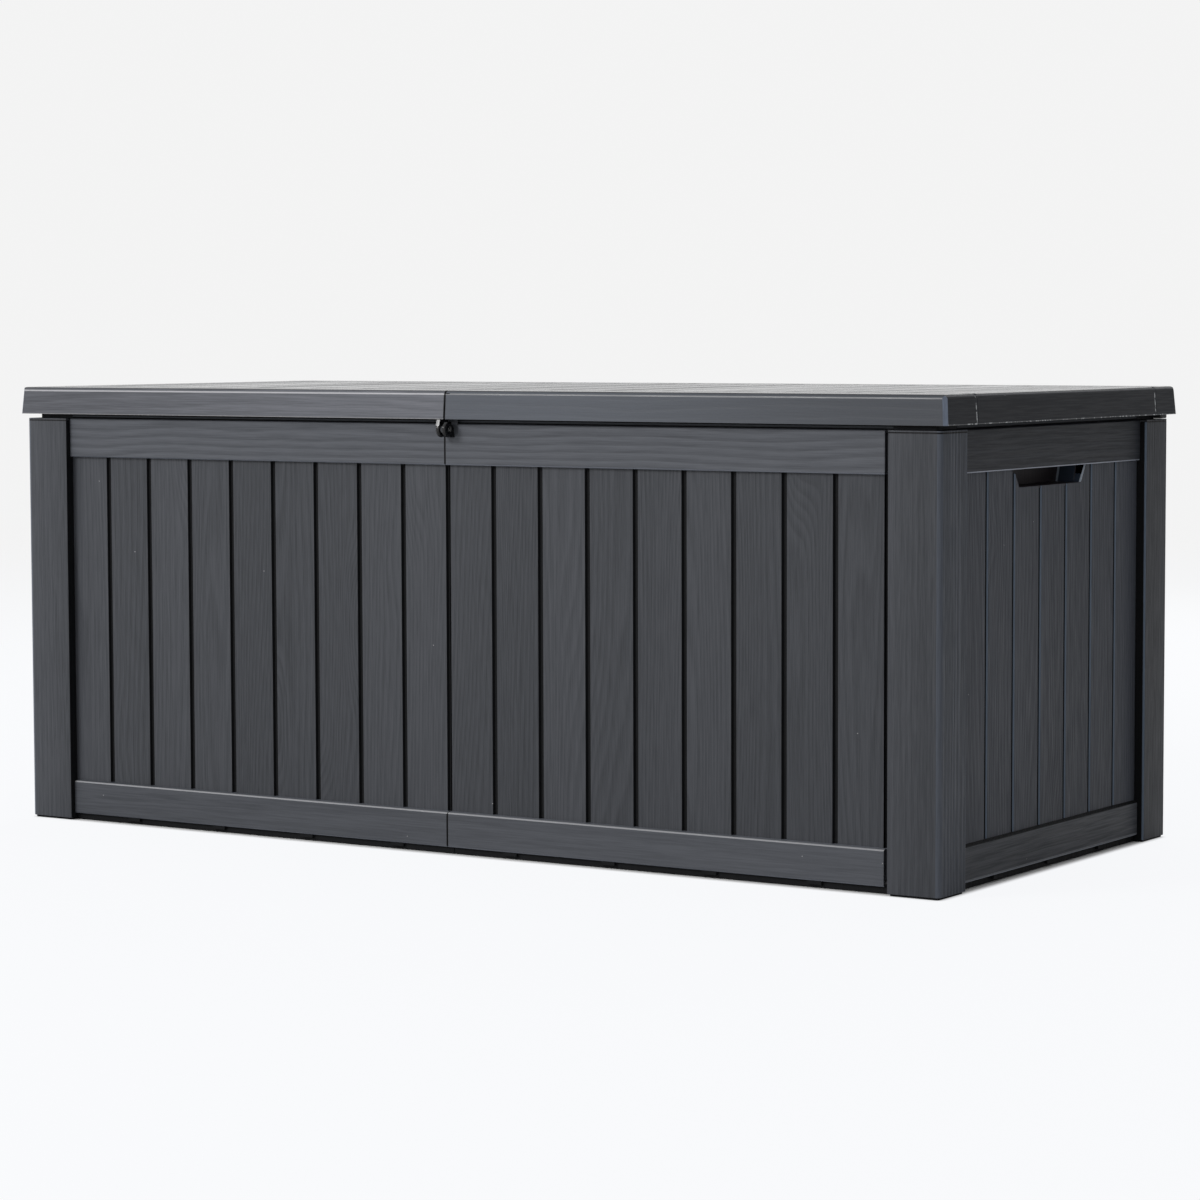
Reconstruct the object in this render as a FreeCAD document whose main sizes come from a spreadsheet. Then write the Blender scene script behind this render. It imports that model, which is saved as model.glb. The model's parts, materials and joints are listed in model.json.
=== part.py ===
import FreeCAD, Part
import math
import os
import re
import Sketcher
from FreeCAD import Vector

# Outdoor storage box moulded in resin with a plank pattern.
# Millimetres. X runs along the front to the right, Y to the back, Z up.
# The origin is on the floor, midway between the ends and between front and back.

SIZES = [
    # Whole body
    ("body_wide", 1530, "outer faces of the corner posts, end to end"),
    ("body_deep", 692, "outer faces of the corner posts, front to back"),
    ("post_tall", 598, "floor to the top of the posts and top rails"),
    ("wall", 3.2, "moulded wall"),
    ("fit", 0.3, "clearance between pieces that fit together"),
    ("seam", 1.0, "gap where two half panels meet"),
    # Corner posts
    ("post_front_wide", 76, "post face seen from the front"),
    ("post_side_wide", 72, "post face seen from the side"),
    ("post_thick", 24, "depth of each leg of a post"),
    ("post_round", 7, "rounding of the outer corner"),
    ("foot_thick", 4, "plate that closes a post at the floor"),
    ("foot_rise", 3, "foot under that plate"),
    ("foot_inset", 3, "foot behind the faces of the post"),
    ("cap_thick", 3, "plate that closes a post at the top"),
    ("cap_plug", 6, "plug of that plate inside the post"),
    # Panels
    ("front_rail_recess", 8, "front and rear rails behind the post faces"),
    ("front_plank_recess", 15, "front and rear planks behind the post faces"),
    ("side_rail_recess", 10, "side rails behind the post faces"),
    ("side_plank_recess", 15.5, "side planks behind the post faces"),
    ("top_rail_tall", 57, "height of a top rail"),
    ("bottom_rail_low", 10, "underside of the bottom rails"),
    ("bottom_rail_tall", 49.5, "height of a bottom rail"),
    ("rail_bevel", 3, "slope along the edges of the rails"),
    ("lip_tall", 14, "rim that stands up inside the lid"),
    ("front_shift", 8, "front seam and planks left of the middle"),
    ("front_gap", 9, "gap between the right front panel and its post"),
    ("front_gap_step", 4, "planks end this far before the rails at that gap"),
    ("front_planks", 9, "planks on a half panel"),
    ("side_planks", 7, "planks on a side panel"),
    ("side_shift", 8, "side planks behind the middle"),
    ("groove_wide", 7, "groove between planks"),
    ("groove_deep", 4, "depth of that groove"),
    ("groove_slope", 0.8, "how far each wall of a groove leans"),
    ("groove_back", 2.6, "skin behind a groove"),
    ("tongue", 14, "panel edge that slides into a post"),
    ("rail_rib", 2.5, "web inside a rail"),
    ("joiner_wide", 52, "channel that ties two half panels together"),
    # Hand scoops in the side panels
    ("scoop_top_wide", 218, "scoop width under the rail"),
    ("scoop_bottom_wide", 188, "scoop width at its lower edge"),
    ("scoop_tall", 24, "scoop opening below the rail"),
    ("scoop_deep", 30, "hollow behind the rail, front to back"),
    ("scoop_reach", 24, "finger room above the rail's lower edge"),
    # Floor
    ("floor_thick", 3.5, "floor plate"),
    ("floor_edge", 12, "floor edge behind the post faces"),
    ("floor_skirt_inset", 26, "floor skirt behind the post faces"),
    ("toe_behind", 6, "toe of the floor behind the faces of the bottom rails"),
    ("toe_gap", 1, "daylight under that toe"),
    ("floor_ribs", 8, "ribs under one half of the floor"),
    ("snap_wide", 22, "snap tab under a bottom rail"),
    ("snap_pitch", 160, "spacing of the snap tabs"),
    ("snap_first", 96, "first snap tab beside the floor's joint"),
    ("floor_snaps", 4, "snap tabs along each edge of a floor half"),
    ("end_snaps", 3, "snap tabs at each end of the floor"),
    # Lid
    ("lid_gap", 6.5, "daylight between the rails and the lid edge"),
    ("lid_tall", 39.5, "lid edge, bottom to top"),
    ("lid_side_over", 10, "lid beyond the posts at each end"),
    ("lid_front_over", 5, "lid beyond the posts at the front"),
    ("lid_rear_over", 9, "lid beyond the posts at the back"),
    ("lid_draft", 3, "how far the lid's edge leans in at the top"),
    ("lid_round", 7, "rounding of the lid's top edge"),
    ("lid_corner", 5, "cut across the lid's upright corners"),
    ("lid_seam", 2.4, "gap between the two halves of the lid"),
    ("lid_planks", 7, "full planks on one half of the lid"),
    ("lid_first_groove", 18, "first groove beside the seam"),
    ("lid_end_board", 99, "last board at each end of the lid"),
    ("lid_front_board", 89, "board along the front of the lid"),
    ("lid_rear_board", 69, "board along the back of the lid"),
    ("lid_groove_wide", 6, "groove on the lid"),
    ("lid_groove_deep", 2, "depth of that groove"),
    ("board_joint", 1.2, "line down the lid's end where two boards meet"),
    ("board_joint_deep", 0.8, "depth of that line"),
    ("lid_rib_wide", 9, "rib under a groove of the lid"),
    ("lid_rib_tall", 9, "height of that rib under the skin"),
    # Lid stiffening tubes
    ("tube_round", 20, "outer diameter of a lid tube"),
    ("tube_wall", 1.5, "wall of a lid tube"),
    ("tube_inset", 28, "end of a lid tube inside the struts' centre line"),
    ("tube_front_back", 170, "front tube ahead of the middle"),
    ("tube_rear_back", 150, "rear tube behind the middle"),
    ("saddle_wide", 16, "saddle block along the tube"),
    ("saddle_deep", 36, "saddle block across the tube"),
    # Hinges
    ("axis_back", 10, "hinge axis behind the post faces"),
    ("axis_rise", 1, "hinge axis above the posts"),
    ("knuckle_round", 10, "outer diameter of a knuckle"),
    ("pin_round", 5, "hinge pin"),
    ("pin_head", 8, "head of a hinge pin"),
    ("pin_head_long", 1.5, "thickness of that head"),
    ("pin_fit", 0.09, "running clearance about pins, studs, rods and pistons"),
    ("leaf_wide", 64, "hinge leaf along the rail"),
    ("leaf_thick", 3, "hinge leaf plate"),
    ("leaf_tall", 40, "box leaf below the axis"),
    ("lid_leaf_tall", 27, "lid leaf above the lid's lower edge"),
    ("lid_knuckle_wide", 30, "middle knuckle, on the lid leaf"),
    ("knuckle_gap", 0.5, "gap between knuckles"),
    ("arm_low", 16, "arm of the box leaf below the axis"),
    ("arm_out", 3.5, "arm of the box leaf behind the axis"),
    ("arm_drop", 3, "top of that arm below the axis"),
    ("neck_inset", 0.5, "neck of the lid leaf inside the knuckle's face"),
    ("neck_rise", 2, "neck of the lid leaf up its plate"),
    ("hinge_inner", 230, "inner hinges from the middle"),
    ("hinge_outer", 560, "outer hinges from the middle"),
    ("screw_round", 4, "screw shank"),
    ("screw_head", 8, "screw head diameter"),
    ("screw_head_tall", 2.4, "screw head height"),
    ("screw_long", 9, "screw under its head"),
    ("box_screw_step", 22, "spacing of the box leaf's screws"),
    ("box_screw_drop", 27, "box leaf screws below the axis"),
    ("lid_screw_step", 40, "spacing of the lid leaf's screws"),
    ("lid_screw_rise", 18, "lid leaf screws above the lid edge"),
    # Gas struts: both pivots are the same distance from the hinge axis
    ("strut_reach", 240, "hinge axis to each strut pivot"),
    ("strut_lid_rise", 20, "lid pivot above the hinge axis"),
    ("strut_angle", 66, "angle at the hinge between the two pivots, closed"),
    ("strut_inset", 49, "strut's centre line behind the end post faces"),
    ("cylinder_round", 18, "strut cylinder outside"),
    ("cylinder_bore", 15, "strut cylinder inside"),
    ("cylinder_start", 10, "cylinder base from the lower pivot"),
    ("cylinder_long", 230, "cylinder length"),
    ("plug_long", 8, "closed end of the cylinder"),
    ("gland_long", 9, "rod guide at the open end"),
    ("rod_round", 8, "strut rod"),
    ("rod_start", 20, "lower end of the piston from the lower pivot"),
    ("piston_long", 9, "piston"),
    ("eye_round", 17, "strut eye outside"),
    ("eye_wide", 10, "strut eye along its stud"),
    ("neck_round", 9.6, "neck between an eye and its tube or rod"),
    ("stud_round", 8, "stud that a strut eye turns on"),
    ("stud_head", 12, "head that keeps the eye on"),
    ("stud_head_long", 2, "thickness of that head"),
    ("bracket_thick", 3, "strut bracket plate"),
    ("bracket_wide", 46, "strut bracket, front to back"),
    ("bracket_tall", 64, "box bracket height"),
    ("bracket_corner", 6, "corner cut of the box bracket"),
    ("bracket_step_wide", 30, "box bracket screws, front to back"),
    ("bracket_step_tall", 48, "box bracket screws, up and down"),
    ("lid_bracket_step", 34, "lid bracket screws, front to back"),
    ("boss_tall", 6, "boss under the lid that takes the bracket screws"),
    # Padlock ears
    ("ear_thick", 6, "thickness of a padlock ear"),
    ("ear_apart", 4, "gap between the two ears"),
    ("ear_radius", 11, "rounding of an ear about its hole"),
    ("ear_hole", 9, "padlock hole"),
    ("ear_ahead", 4, "hole's centre ahead of the post faces"),
    ("ear_drop", 14, "hole's centre below the lid's lower edge"),
    ("ear_plate_wide", 30, "plate that carries an ear"),
    ("ear_plate_tall", 34, "height of the box ear's plate"),
    ("ear_plate_thick", 3, "thickness of these plates"),
    ("ear_neck", 7.7, "front of the lid ear's neck ahead of the hole"),
    ("ear_clear", 2, "room between an ear and what it passes"),
]

doc = FreeCAD.newDocument("StorageBox")
sheet = doc.addObject("Spreadsheet::Sheet", "Sizes")
for row, (alias, value, note) in enumerate(SIZES, start=1):
    sheet.set(f"A{row}", note)
    sheet.set(f"B{row}", str(value))
    sheet.setAlias(f"B{row}", alias)
doc.recompute()

ALIASES = re.compile(r"\b(" + "|".join(alias for alias, value, note in SIZES) + r")\b")

# Places that several pieces share, as formulas of the sizes.
LIP_TOP = "(post_tall + lip_tall)"
LID_LOW = "(post_tall + lid_gap)"
LID_TOP = "(post_tall + lid_gap + lid_tall)"
LID_UNDER = "(post_tall + lid_gap + lid_tall - wall)"
RIB_UNDER = "(post_tall + lid_gap + lid_tall - wall - lid_rib_tall)"
HALF_WIDE = "(body_wide / 2)"
HALF_DEEP = "(body_deep / 2)"
FRONT_SPAN = "(body_wide / 2 - post_front_wide)"
SIDE_SPAN = "(body_deep / 2 - post_side_wide)"
TOP_RAIL_LOW = "(post_tall - top_rail_tall)"
BOTTOM_RAIL_TOP = "(bottom_rail_low + bottom_rail_tall)"
FRONT_PITCH = "((body_wide / 2 - post_front_wide) / front_planks)"
SIDE_PITCH = "((body_deep - 2 * post_side_wide) / side_planks)"
AXIS_Y = "(body_deep / 2 + axis_back)"
AXIS_Z = "(post_tall + axis_rise)"
SCOOP_LOW = "(post_tall - top_rail_tall - scoop_tall)"
FLOOR_PITCH = "((body_wide / 2 - floor_skirt_inset) / (floor_ribs + 0.5))"
LID_PITCH = "((body_wide / 2 + lid_side_over - lid_first_groove - lid_end_board) / lid_planks)"
FLOOR_LOW = "(bottom_rail_low + wall)"
STRUT_X = "(body_wide / 2 - strut_inset)"
STRUT_LEAN = "(strut_angle / 2 * 1 deg - asin(strut_lid_rise / strut_reach))"
STRUT_CLOSED = "(2 * strut_reach * sin(strut_angle / 2))"
LOWER_ANGLE = "(strut_angle * 1 deg - asin(strut_lid_rise / strut_reach))"
LOWER_Y = f"({AXIS_Y} - strut_reach * cos({LOWER_ANGLE}))"
LOWER_Z = f"({AXIS_Z} - strut_reach * sin({LOWER_ANGLE}))"
UPPER_Y = f"({AXIS_Y} - strut_reach * cos(asin(strut_lid_rise / strut_reach)))"
UPPER_Z = f"({AXIS_Z} + strut_lid_rise)"
EAR_Y = "(-body_deep / 2 - ear_ahead)"
EAR_Z = "(post_tall + lid_gap - ear_drop)"
EAR_ROOT_TOP = "(post_tall - wall - ear_clear)"


def linked(formula):
    """The formula with each size written as a cell of the sheet."""
    return ALIASES.sub(r"Sizes.\1", formula)


def number(formula):
    """The formula's present value in millimetres, degrees or a count."""
    found = sheet.evalExpression(linked(formula))
    return float(getattr(found, "Value", found))


def new_body(name):
    """A body that becomes one named sub-part."""
    body = doc.addObject("PartDesign::Body", name)
    body.Label = name
    return body


def place(thing, x="0", y="0", z="0", turn=None, axis=Vector(0, 0, 1)):
    """Place a sub-part by formulas, turned about an axis by a formula in degrees."""
    if turn is not None:
        thing.Placement = FreeCAD.Placement(Vector(0, 0, 0), FreeCAD.Rotation(axis, number(turn)))
        thing.setExpression("Placement.Rotation.Angle", linked(turn))
    for way, formula in (("x", x), ("y", y), ("z", z)):
        thing.setExpression(f"Placement.Base.{way}", linked(formula))


def origin_item(body, role):
    return next(item for item in body.Origin.OriginFeatures if item.Role == role)


def sketch_on(body, plane, name, lift="0"):
    """A sketch on one of the body's own planes, moved along the plane's normal."""
    made = body.newObject("Sketcher::SketchObject", name)
    made.AttachmentSupport = [(origin_item(body, plane), "")]
    made.MapMode = "FlatFace"
    made.setExpression("AttachmentOffset.Base.z", linked(lift))
    return made


def bind(made, kind, spot, formula):
    """One dimension of a sketch, bound to a formula."""
    at = made.addConstraint(Sketcher.Constraint(kind, *spot, number(formula)))
    made.setExpression(f"Constraints[{at}]", linked(formula))


def arc_between(start, stop, centre, radius):
    """The short arc between two points, and whether it runs from the first to the second."""
    angles = [math.atan2(spot.y - centre.y, spot.x - centre.x) for spot in (start, stop)]
    forwards = (angles[1] - angles[0]) % (2 * math.pi) < math.pi
    if not forwards:
        angles.reverse()
    return Part.ArcOfCircle(Part.Circle(centre, Vector(0, 0, 1), radius), *angles), forwards


def outline(made, corners, arcs=None):
    """A closed line through corners given as pairs of formulas.

    arcs holds, for each corner where an arc starts, the arc's centre and radius as formulas.
    """
    arcs = arcs or {}
    first = made.GeometryCount
    spots = [Vector(number(across), number(up), 0) for across, up in corners]
    count = len(spots)
    ends = []
    for at, here in enumerate(spots):
        there = spots[(at + 1) % count]
        if at in arcs:
            across, up, radius = arcs[at]
            centre = Vector(number(across), number(up), 0)
            piece, forwards = arc_between(here, there, centre, number(radius))
        else:
            piece, forwards = Part.LineSegment(here, there), True
        made.addGeometry(piece, False)
        ends.append((1, 2) if forwards else (2, 1))
    for at in range(count):
        follow = (at + 1) % count
        made.addConstraint(Sketcher.Constraint("Coincident", first + at, ends[at][1],
                                               first + follow, ends[follow][0]))
    for at, (across, up) in enumerate(corners):
        bind(made, "DistanceX", (first + at, ends[at][0]), across)
        bind(made, "DistanceY", (first + at, ends[at][0]), up)
    for at, (across, up, radius) in arcs.items():
        bind(made, "Radius", (first + at,), radius)


def rectangle(made, left, right, low, high):
    outline(made, [(left, low), (right, low), (right, high), (left, high)])


def circle(made, across, up, diameter):
    at = made.addGeometry(Part.Circle(Vector(number(across), number(up), 0), Vector(0, 0, 1),
                                      number(diameter) / 2), False)
    bind(made, "DistanceX", (at, 3), across)
    bind(made, "DistanceY", (at, 3), up)
    bind(made, "Radius", (at,), f"({diameter}) / 2")


def pad(body, profile, length, both_ways=False, backwards=False):
    made = body.newObject("PartDesign::Pad", profile.Name + "_pad")
    made.Profile = profile
    made.Reversed = backwards
    made.SideType = "Symmetric" if both_ways else "One side"
    made.setExpression("Length", linked(length))
    return made


def pocket(body, profile, length, both_ways=False, backwards=False):
    made = body.newObject("PartDesign::Pocket", profile.Name + "_cut")
    made.Profile = profile
    made.Reversed = backwards
    made.SideType = "Symmetric" if both_ways else "One side"
    made.setExpression("Length", linked(length))
    return made


def repeat(body, feature, count, spacing, along="X_Axis", backwards=False):
    """A row of copies of one feature."""
    made = body.newObject("PartDesign::LinearPattern", feature.Name + "_row")
    made.Originals = [feature]
    made.Direction = (origin_item(body, along), [""])
    made.Reversed = backwards
    made.setExpression("Occurrences", linked(count))
    made.setExpression("Length", linked(f"(({count}) - 1) * ({spacing})"))
    body.Tip = made
    return made


def mirrored(side, near, far):
    """The two ends of a stretch measured from the seam, in rising order, as formulas."""
    if side > 0:
        return near, far
    return f"-({far})", f"-({near})"


def rail_profile(rail_recess, plank_recess):
    """The top rail from outside in: a channel that opens inwards, with the lid's rim on it."""
    low = TOP_RAIL_LOW
    back = "post_thick"
    return [
        (rail_recess, f"{low} + rail_bevel / 2"), (rail_recess, "post_tall - rail_bevel / 2"),
        (f"{rail_recess} + rail_bevel / 2", "post_tall"), (plank_recess, "post_tall"),
        (plank_recess, LIP_TOP), (f"{plank_recess} + wall", LIP_TOP),
        (f"{plank_recess} + wall", "post_tall"), (back, "post_tall"), (back, "post_tall - wall"),
        (f"{rail_recess} + wall", "post_tall - wall"), (f"{rail_recess} + wall", f"{low} + wall"),
        (back, f"{low} + wall"), (back, low), (f"{rail_recess} + rail_bevel / 2", low),
    ]


def bottom_rail_profile(rail_recess, plank_recess):
    """The bottom rail: a channel that opens inwards and carries the floor's edge."""
    top = BOTTOM_RAIL_TOP
    back = "post_thick"
    return [
        (f"{rail_recess} + rail_bevel / 2", "bottom_rail_low"),
        (rail_recess, "bottom_rail_low + rail_bevel / 2"), (rail_recess, f"{top} - rail_bevel"),
        (f"{rail_recess} + rail_bevel / 2", f"{top} - rail_bevel / 2"), (plank_recess, top),
        (back, top), (back, f"{top} - wall"), (f"{rail_recess} + wall", f"{top} - wall"),
        (f"{rail_recess} + wall", "bottom_rail_low + wall"), (back, "bottom_rail_low + wall"),
        (back, "bottom_rail_low"),
    ]


def groove_shape(middle, plank_recess):
    """A groove between planks, seen from above, a little wider at its mouth."""
    half = "groove_wide / 2"
    bottom = f"{plank_recess} + groove_deep"
    return [
        (f"{middle} - {half} - groove_slope", f"{plank_recess} - groove_slope"),
        (f"{middle} + {half} + groove_slope", f"{plank_recess} - groove_slope"),
        (f"{middle} + {half} - groove_slope", bottom), (f"{middle} - {half} + groove_slope", bottom),
    ]


def plank_wall(body, ends, plank_recess):
    """The skin that carries the planks, with a tongue past each end that meets a post."""
    left, right = ends
    skin = sketch_on(body, "XY_Plane", "skin", f"{BOTTOM_RAIL_TOP} - wall / 2")
    rectangle(skin, left, right, plank_recess, f"{plank_recess} + wall")
    pad(body, skin, f"{TOP_RAIL_LOW} - {BOTTOM_RAIL_TOP} + wall")


def rails(body, start, length, rail_recess, plank_recess):
    top = sketch_on(body, "YZ_Plane", "top_rail", start)
    outline(top, rail_profile(rail_recess, plank_recess))
    pad(body, top, length)
    bottom = sketch_on(body, "YZ_Plane", "bottom_rail", start)
    outline(bottom, bottom_rail_profile(rail_recess, plank_recess))
    pad(body, bottom, length)


def rail_webs(body, first, count, pitch, rail_recess, backwards=False):
    """Upright webs inside both rail channels."""
    for name, low, tall in (
        ("top_web", f"{TOP_RAIL_LOW} + wall / 2", "top_rail_tall - wall"),
        ("bottom_web", f"{BOTTOM_RAIL_TOP} - wall - floor_edge - rail_bevel", "floor_edge + rail_bevel"),
    ):
        web = sketch_on(body, "XY_Plane", name, low)
        rectangle(web, f"{first} - rail_rib / 2", f"{first} + rail_rib / 2",
                  f"{rail_recess} + wall / 2", "post_thick")
        repeat(body, pad(body, web, tall), count, pitch, backwards=backwards)


def close_gap(body, span, end, field_low, field_tall, back):
    """Close the gap beside a post behind the panel's faces, with a deeper groove where the planks end."""
    edge = "front_plank_recess"
    closing = sketch_on(body, "XY_Plane", "gap_closing", f"{FLOOR_LOW} + floor_thick + fit")
    rectangle(closing, f"{end} - wall", f"{span} - fit", edge, f"{edge} + wall")
    pad(body, closing, f"{LIP_TOP} - {FLOOR_LOW} - floor_thick - fit")
    long_tongue = sketch_on(body, "XY_Plane", "gap_tongue", f"{FLOOR_LOW} + floor_thick + fit")
    rectangle(long_tongue, f"{span} - wall", f"{span} + tongue", edge, f"{edge} + wall")
    pad(body, long_tongue, f"post_tall - cap_thick - {FLOOR_LOW} - floor_thick - 2 * fit")
    behind = sketch_on(body, "XY_Plane", "gap_backing", field_low)
    rectangle(behind, f"{end} - front_gap_step - wall", f"{span} - fit", f"{edge} + wall / 2", back)
    pad(body, behind, field_tall)
    deeper = sketch_on(body, "XY_Plane", "gap_groove", TOP_RAIL_LOW)
    rectangle(deeper, f"{end} - front_gap_step", f"{span} - fit - wall / 2", f"{edge} - groove_slope",
              f"{edge} + groove_deep")
    pocket(body, deeper, f"{TOP_RAIL_LOW} - {BOTTOM_RAIL_TOP}")


def half_panel(name, side, rear):
    """Half of the front or rear wall. Its own X starts at the seam, its Y at the post faces.

    The front seam lies left of the middle, and the right half stops short of its post.
    """
    body = new_body(name)
    gapped = side > 0 and not rear
    span = FRONT_SPAN if rear else f"({FRONT_SPAN} + {side} * front_shift)"
    end = f"({span} - front_gap)" if gapped else f"({span} - fit)"
    start, stop = mirrored(side, "seam / 2", end)
    tongue_ends = mirrored(side, "seam / 2", f"{span} + tongue")
    plank_wall(body, tongue_ends, "front_plank_recess")
    rails(body, start, f"{end} - seam / 2", "front_rail_recess", "front_plank_recess")
    back = "front_plank_recess + groove_deep + groove_back"
    half = "(groove_wide / 2 + wall)"
    field_low = f"{BOTTOM_RAIL_TOP} - wall / 2"
    field_tall = f"{TOP_RAIL_LOW} - {BOTTOM_RAIL_TOP} + wall"
    seam_backing = sketch_on(body, "XY_Plane", "seam_backing", field_low)
    near, far = mirrored(side, "seam / 2", half)
    rectangle(seam_backing, near, far, "front_plank_recess + wall / 2", back)
    pad(body, seam_backing, field_tall)
    first = f"{side} * {FRONT_PITCH}"
    backing = sketch_on(body, "XY_Plane", "backing", field_low)
    rectangle(backing, f"{first} - {half}", f"{first} + {half}", "front_plank_recess + wall / 2", back)
    repeat(body, pad(body, backing, field_tall), "front_planks - 1", FRONT_PITCH, backwards=side < 0)
    rail_webs(body, f"{side} * {FRONT_PITCH} / 2", "front_planks", FRONT_PITCH,
              "front_rail_recess", backwards=side < 0)
    if gapped:
        close_gap(body, span, end, field_low, field_tall, back)
    groove = sketch_on(body, "XY_Plane", "groove", TOP_RAIL_LOW)
    outline(groove, groove_shape("0", "front_plank_recess"))
    cut = pocket(body, groove, f"{TOP_RAIL_LOW} - {BOTTOM_RAIL_TOP}")
    repeat(body, cut, "front_planks", FRONT_PITCH, backwards=side < 0)
    if rear:
        holes = sketch_on(body, "XZ_Plane", "hinge_holes", "-front_rail_recess")
        for hinge in ("hinge_inner", "hinge_outer"):
            for step in (-1, 0, 1):
                circle(holes, f"{side} * {hinge} + {step} * box_screw_step",
                       f"{AXIS_Z} - box_screw_drop", "screw_round + 2 * fit")
        pocket(body, holes, "wall * 2")
        place(body, y=HALF_DEEP, turn="180")
    else:
        if side > 0:
            slot = sketch_on(body, "XZ_Plane", "ear_slot", "-front_rail_recess")
            rectangle(slot, "front_shift + ear_apart / 2 - fit",
                      "front_shift + ear_apart / 2 + ear_thick + fit",
                      f"{EAR_Z} - ear_radius - fit", f"{EAR_ROOT_TOP} + fit")
            pocket(body, slot, "wall * 1.5")
        place(body, x="-front_shift", y=f"-{HALF_DEEP}")
    return body


def side_panel(name, side):
    """An end wall with a hand scoop under its top rail. side is +1 on the right."""
    body = new_body(name)
    tongue_ends = (f"-{SIDE_SPAN} - tongue", f"{SIDE_SPAN} + tongue")
    plank_wall(body, tongue_ends, "side_plank_recess")
    rails(body, f"-{SIDE_SPAN} + fit", f"2 * {SIDE_SPAN} - 2 * fit", "side_rail_recess",
          "side_plank_recess")
    back = "side_plank_recess + groove_deep + groove_back"
    first = f"(-{SIDE_SPAN} + {SIDE_PITCH} + {side} * side_shift)"
    backing = sketch_on(body, "XY_Plane", "backing", f"{BOTTOM_RAIL_TOP} - wall / 2")
    rectangle(backing, f"{first} - groove_wide / 2 - wall", f"{first} + groove_wide / 2 + wall",
              "side_plank_recess + wall / 2", back)
    repeat(body, pad(body, backing, f"{TOP_RAIL_LOW} - {BOTTOM_RAIL_TOP} + wall"),
           "side_planks - 1", SIDE_PITCH)
    rail_webs(body, f"(-{SIDE_SPAN} + {SIDE_PITCH} / 2)", "side_planks", SIDE_PITCH, "side_rail_recess")
    seat = sketch_on(body, "XZ_Plane", "strut_seat", "-post_thick")
    middle = f"{side} * {LOWER_Y}"
    rectangle(seat, f"{middle} - bracket_wide / 2", f"{middle} + bracket_wide / 2",
              f"{LOWER_Z} - bracket_tall / 2", f"{LOWER_Z} + bracket_tall / 2")
    pad(body, seat, "post_thick - side_plank_recess - wall / 2")
    seat_holes = sketch_on(body, "XZ_Plane", "seat_holes", "-post_thick")
    for step_across in (-0.5, 0.5):
        for step_up in (-0.5, 0.5):
            circle(seat_holes, f"{middle} + {step_across} * bracket_step_wide",
                   f"{LOWER_Z} + {step_up} * bracket_step_tall", "screw_round + 2 * fit")
    pocket(body, seat_holes, "post_thick - side_plank_recess - wall / 2", backwards=True)
    groove = sketch_on(body, "XY_Plane", "groove", TOP_RAIL_LOW)
    outline(groove, groove_shape(first, "side_plank_recess"))
    repeat(body, pocket(body, groove, f"{TOP_RAIL_LOW} - {BOTTOM_RAIL_TOP}"),
           "side_planks - 1", SIDE_PITCH)
    shell = sketch_on(body, "XZ_Plane", "scoop_shell", "-(post_thick + scoop_deep + wall)")
    outline(shell, [
        ("-scoop_bottom_wide / 2 - wall", f"{SCOOP_LOW} - wall"),
        ("scoop_bottom_wide / 2 + wall", f"{SCOOP_LOW} - wall"),
        ("scoop_top_wide / 2 + wall", f"{TOP_RAIL_LOW} + scoop_reach + wall"),
        ("-scoop_top_wide / 2 - wall", f"{TOP_RAIL_LOW} + scoop_reach + wall"),
    ])
    pad(body, shell, "post_thick + scoop_deep + wall / 2 - side_plank_recess")
    hollow = sketch_on(body, "XZ_Plane", "scoop_hollow", "-(post_thick + scoop_deep)")
    outline(hollow, [
        ("-scoop_bottom_wide / 2", SCOOP_LOW), ("scoop_bottom_wide / 2", SCOOP_LOW),
        ("scoop_top_wide / 2", f"{TOP_RAIL_LOW} + scoop_reach"),
        ("-scoop_top_wide / 2", f"{TOP_RAIL_LOW} + scoop_reach"),
    ])
    pocket(body, hollow, "scoop_deep", backwards=True)
    mouth = sketch_on(body, "XZ_Plane", "scoop_mouth", "-(post_thick + wall)")
    outline(mouth, [
        ("-scoop_bottom_wide / 2", SCOOP_LOW), ("scoop_bottom_wide / 2", SCOOP_LOW),
        ("scoop_top_wide / 2", TOP_RAIL_LOW), ("-scoop_top_wide / 2", TOP_RAIL_LOW),
    ])
    pocket(body, mouth, "post_thick", backwards=True)
    place(body, x=f"{side} * {HALF_WIDE}", turn=f"{side} * 90")
    return body


def corner_plan(made, side, inset="0"):
    """The L of a corner post in plan, from its outer corner, shrunk by an inset."""
    near, edge = f"{side} * ({inset})", f"{side} * post_round"
    far, leg = f"{side} * (post_front_wide - {inset})", f"{side} * (post_thick - {inset})"
    outline(made, [(near, "post_round"), (edge, inset), (far, inset), (far, f"post_thick - {inset}"),
                   (leg, f"post_thick - {inset}"), (leg, f"post_side_wide - {inset}"),
                   (near, f"post_side_wide - {inset}")],
            arcs={0: (edge, "post_round", f"post_round - {inset}")})


def place_corner(body, side, rear):
    """Put a corner piece at its corner of the box."""
    if rear:
        place(body, x=f"{side} * {HALF_WIDE}", y=HALF_DEEP, turn="180")
    else:
        place(body, x=f"-{side} * {HALF_WIDE}", y=f"-{HALF_DEEP}")


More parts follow.
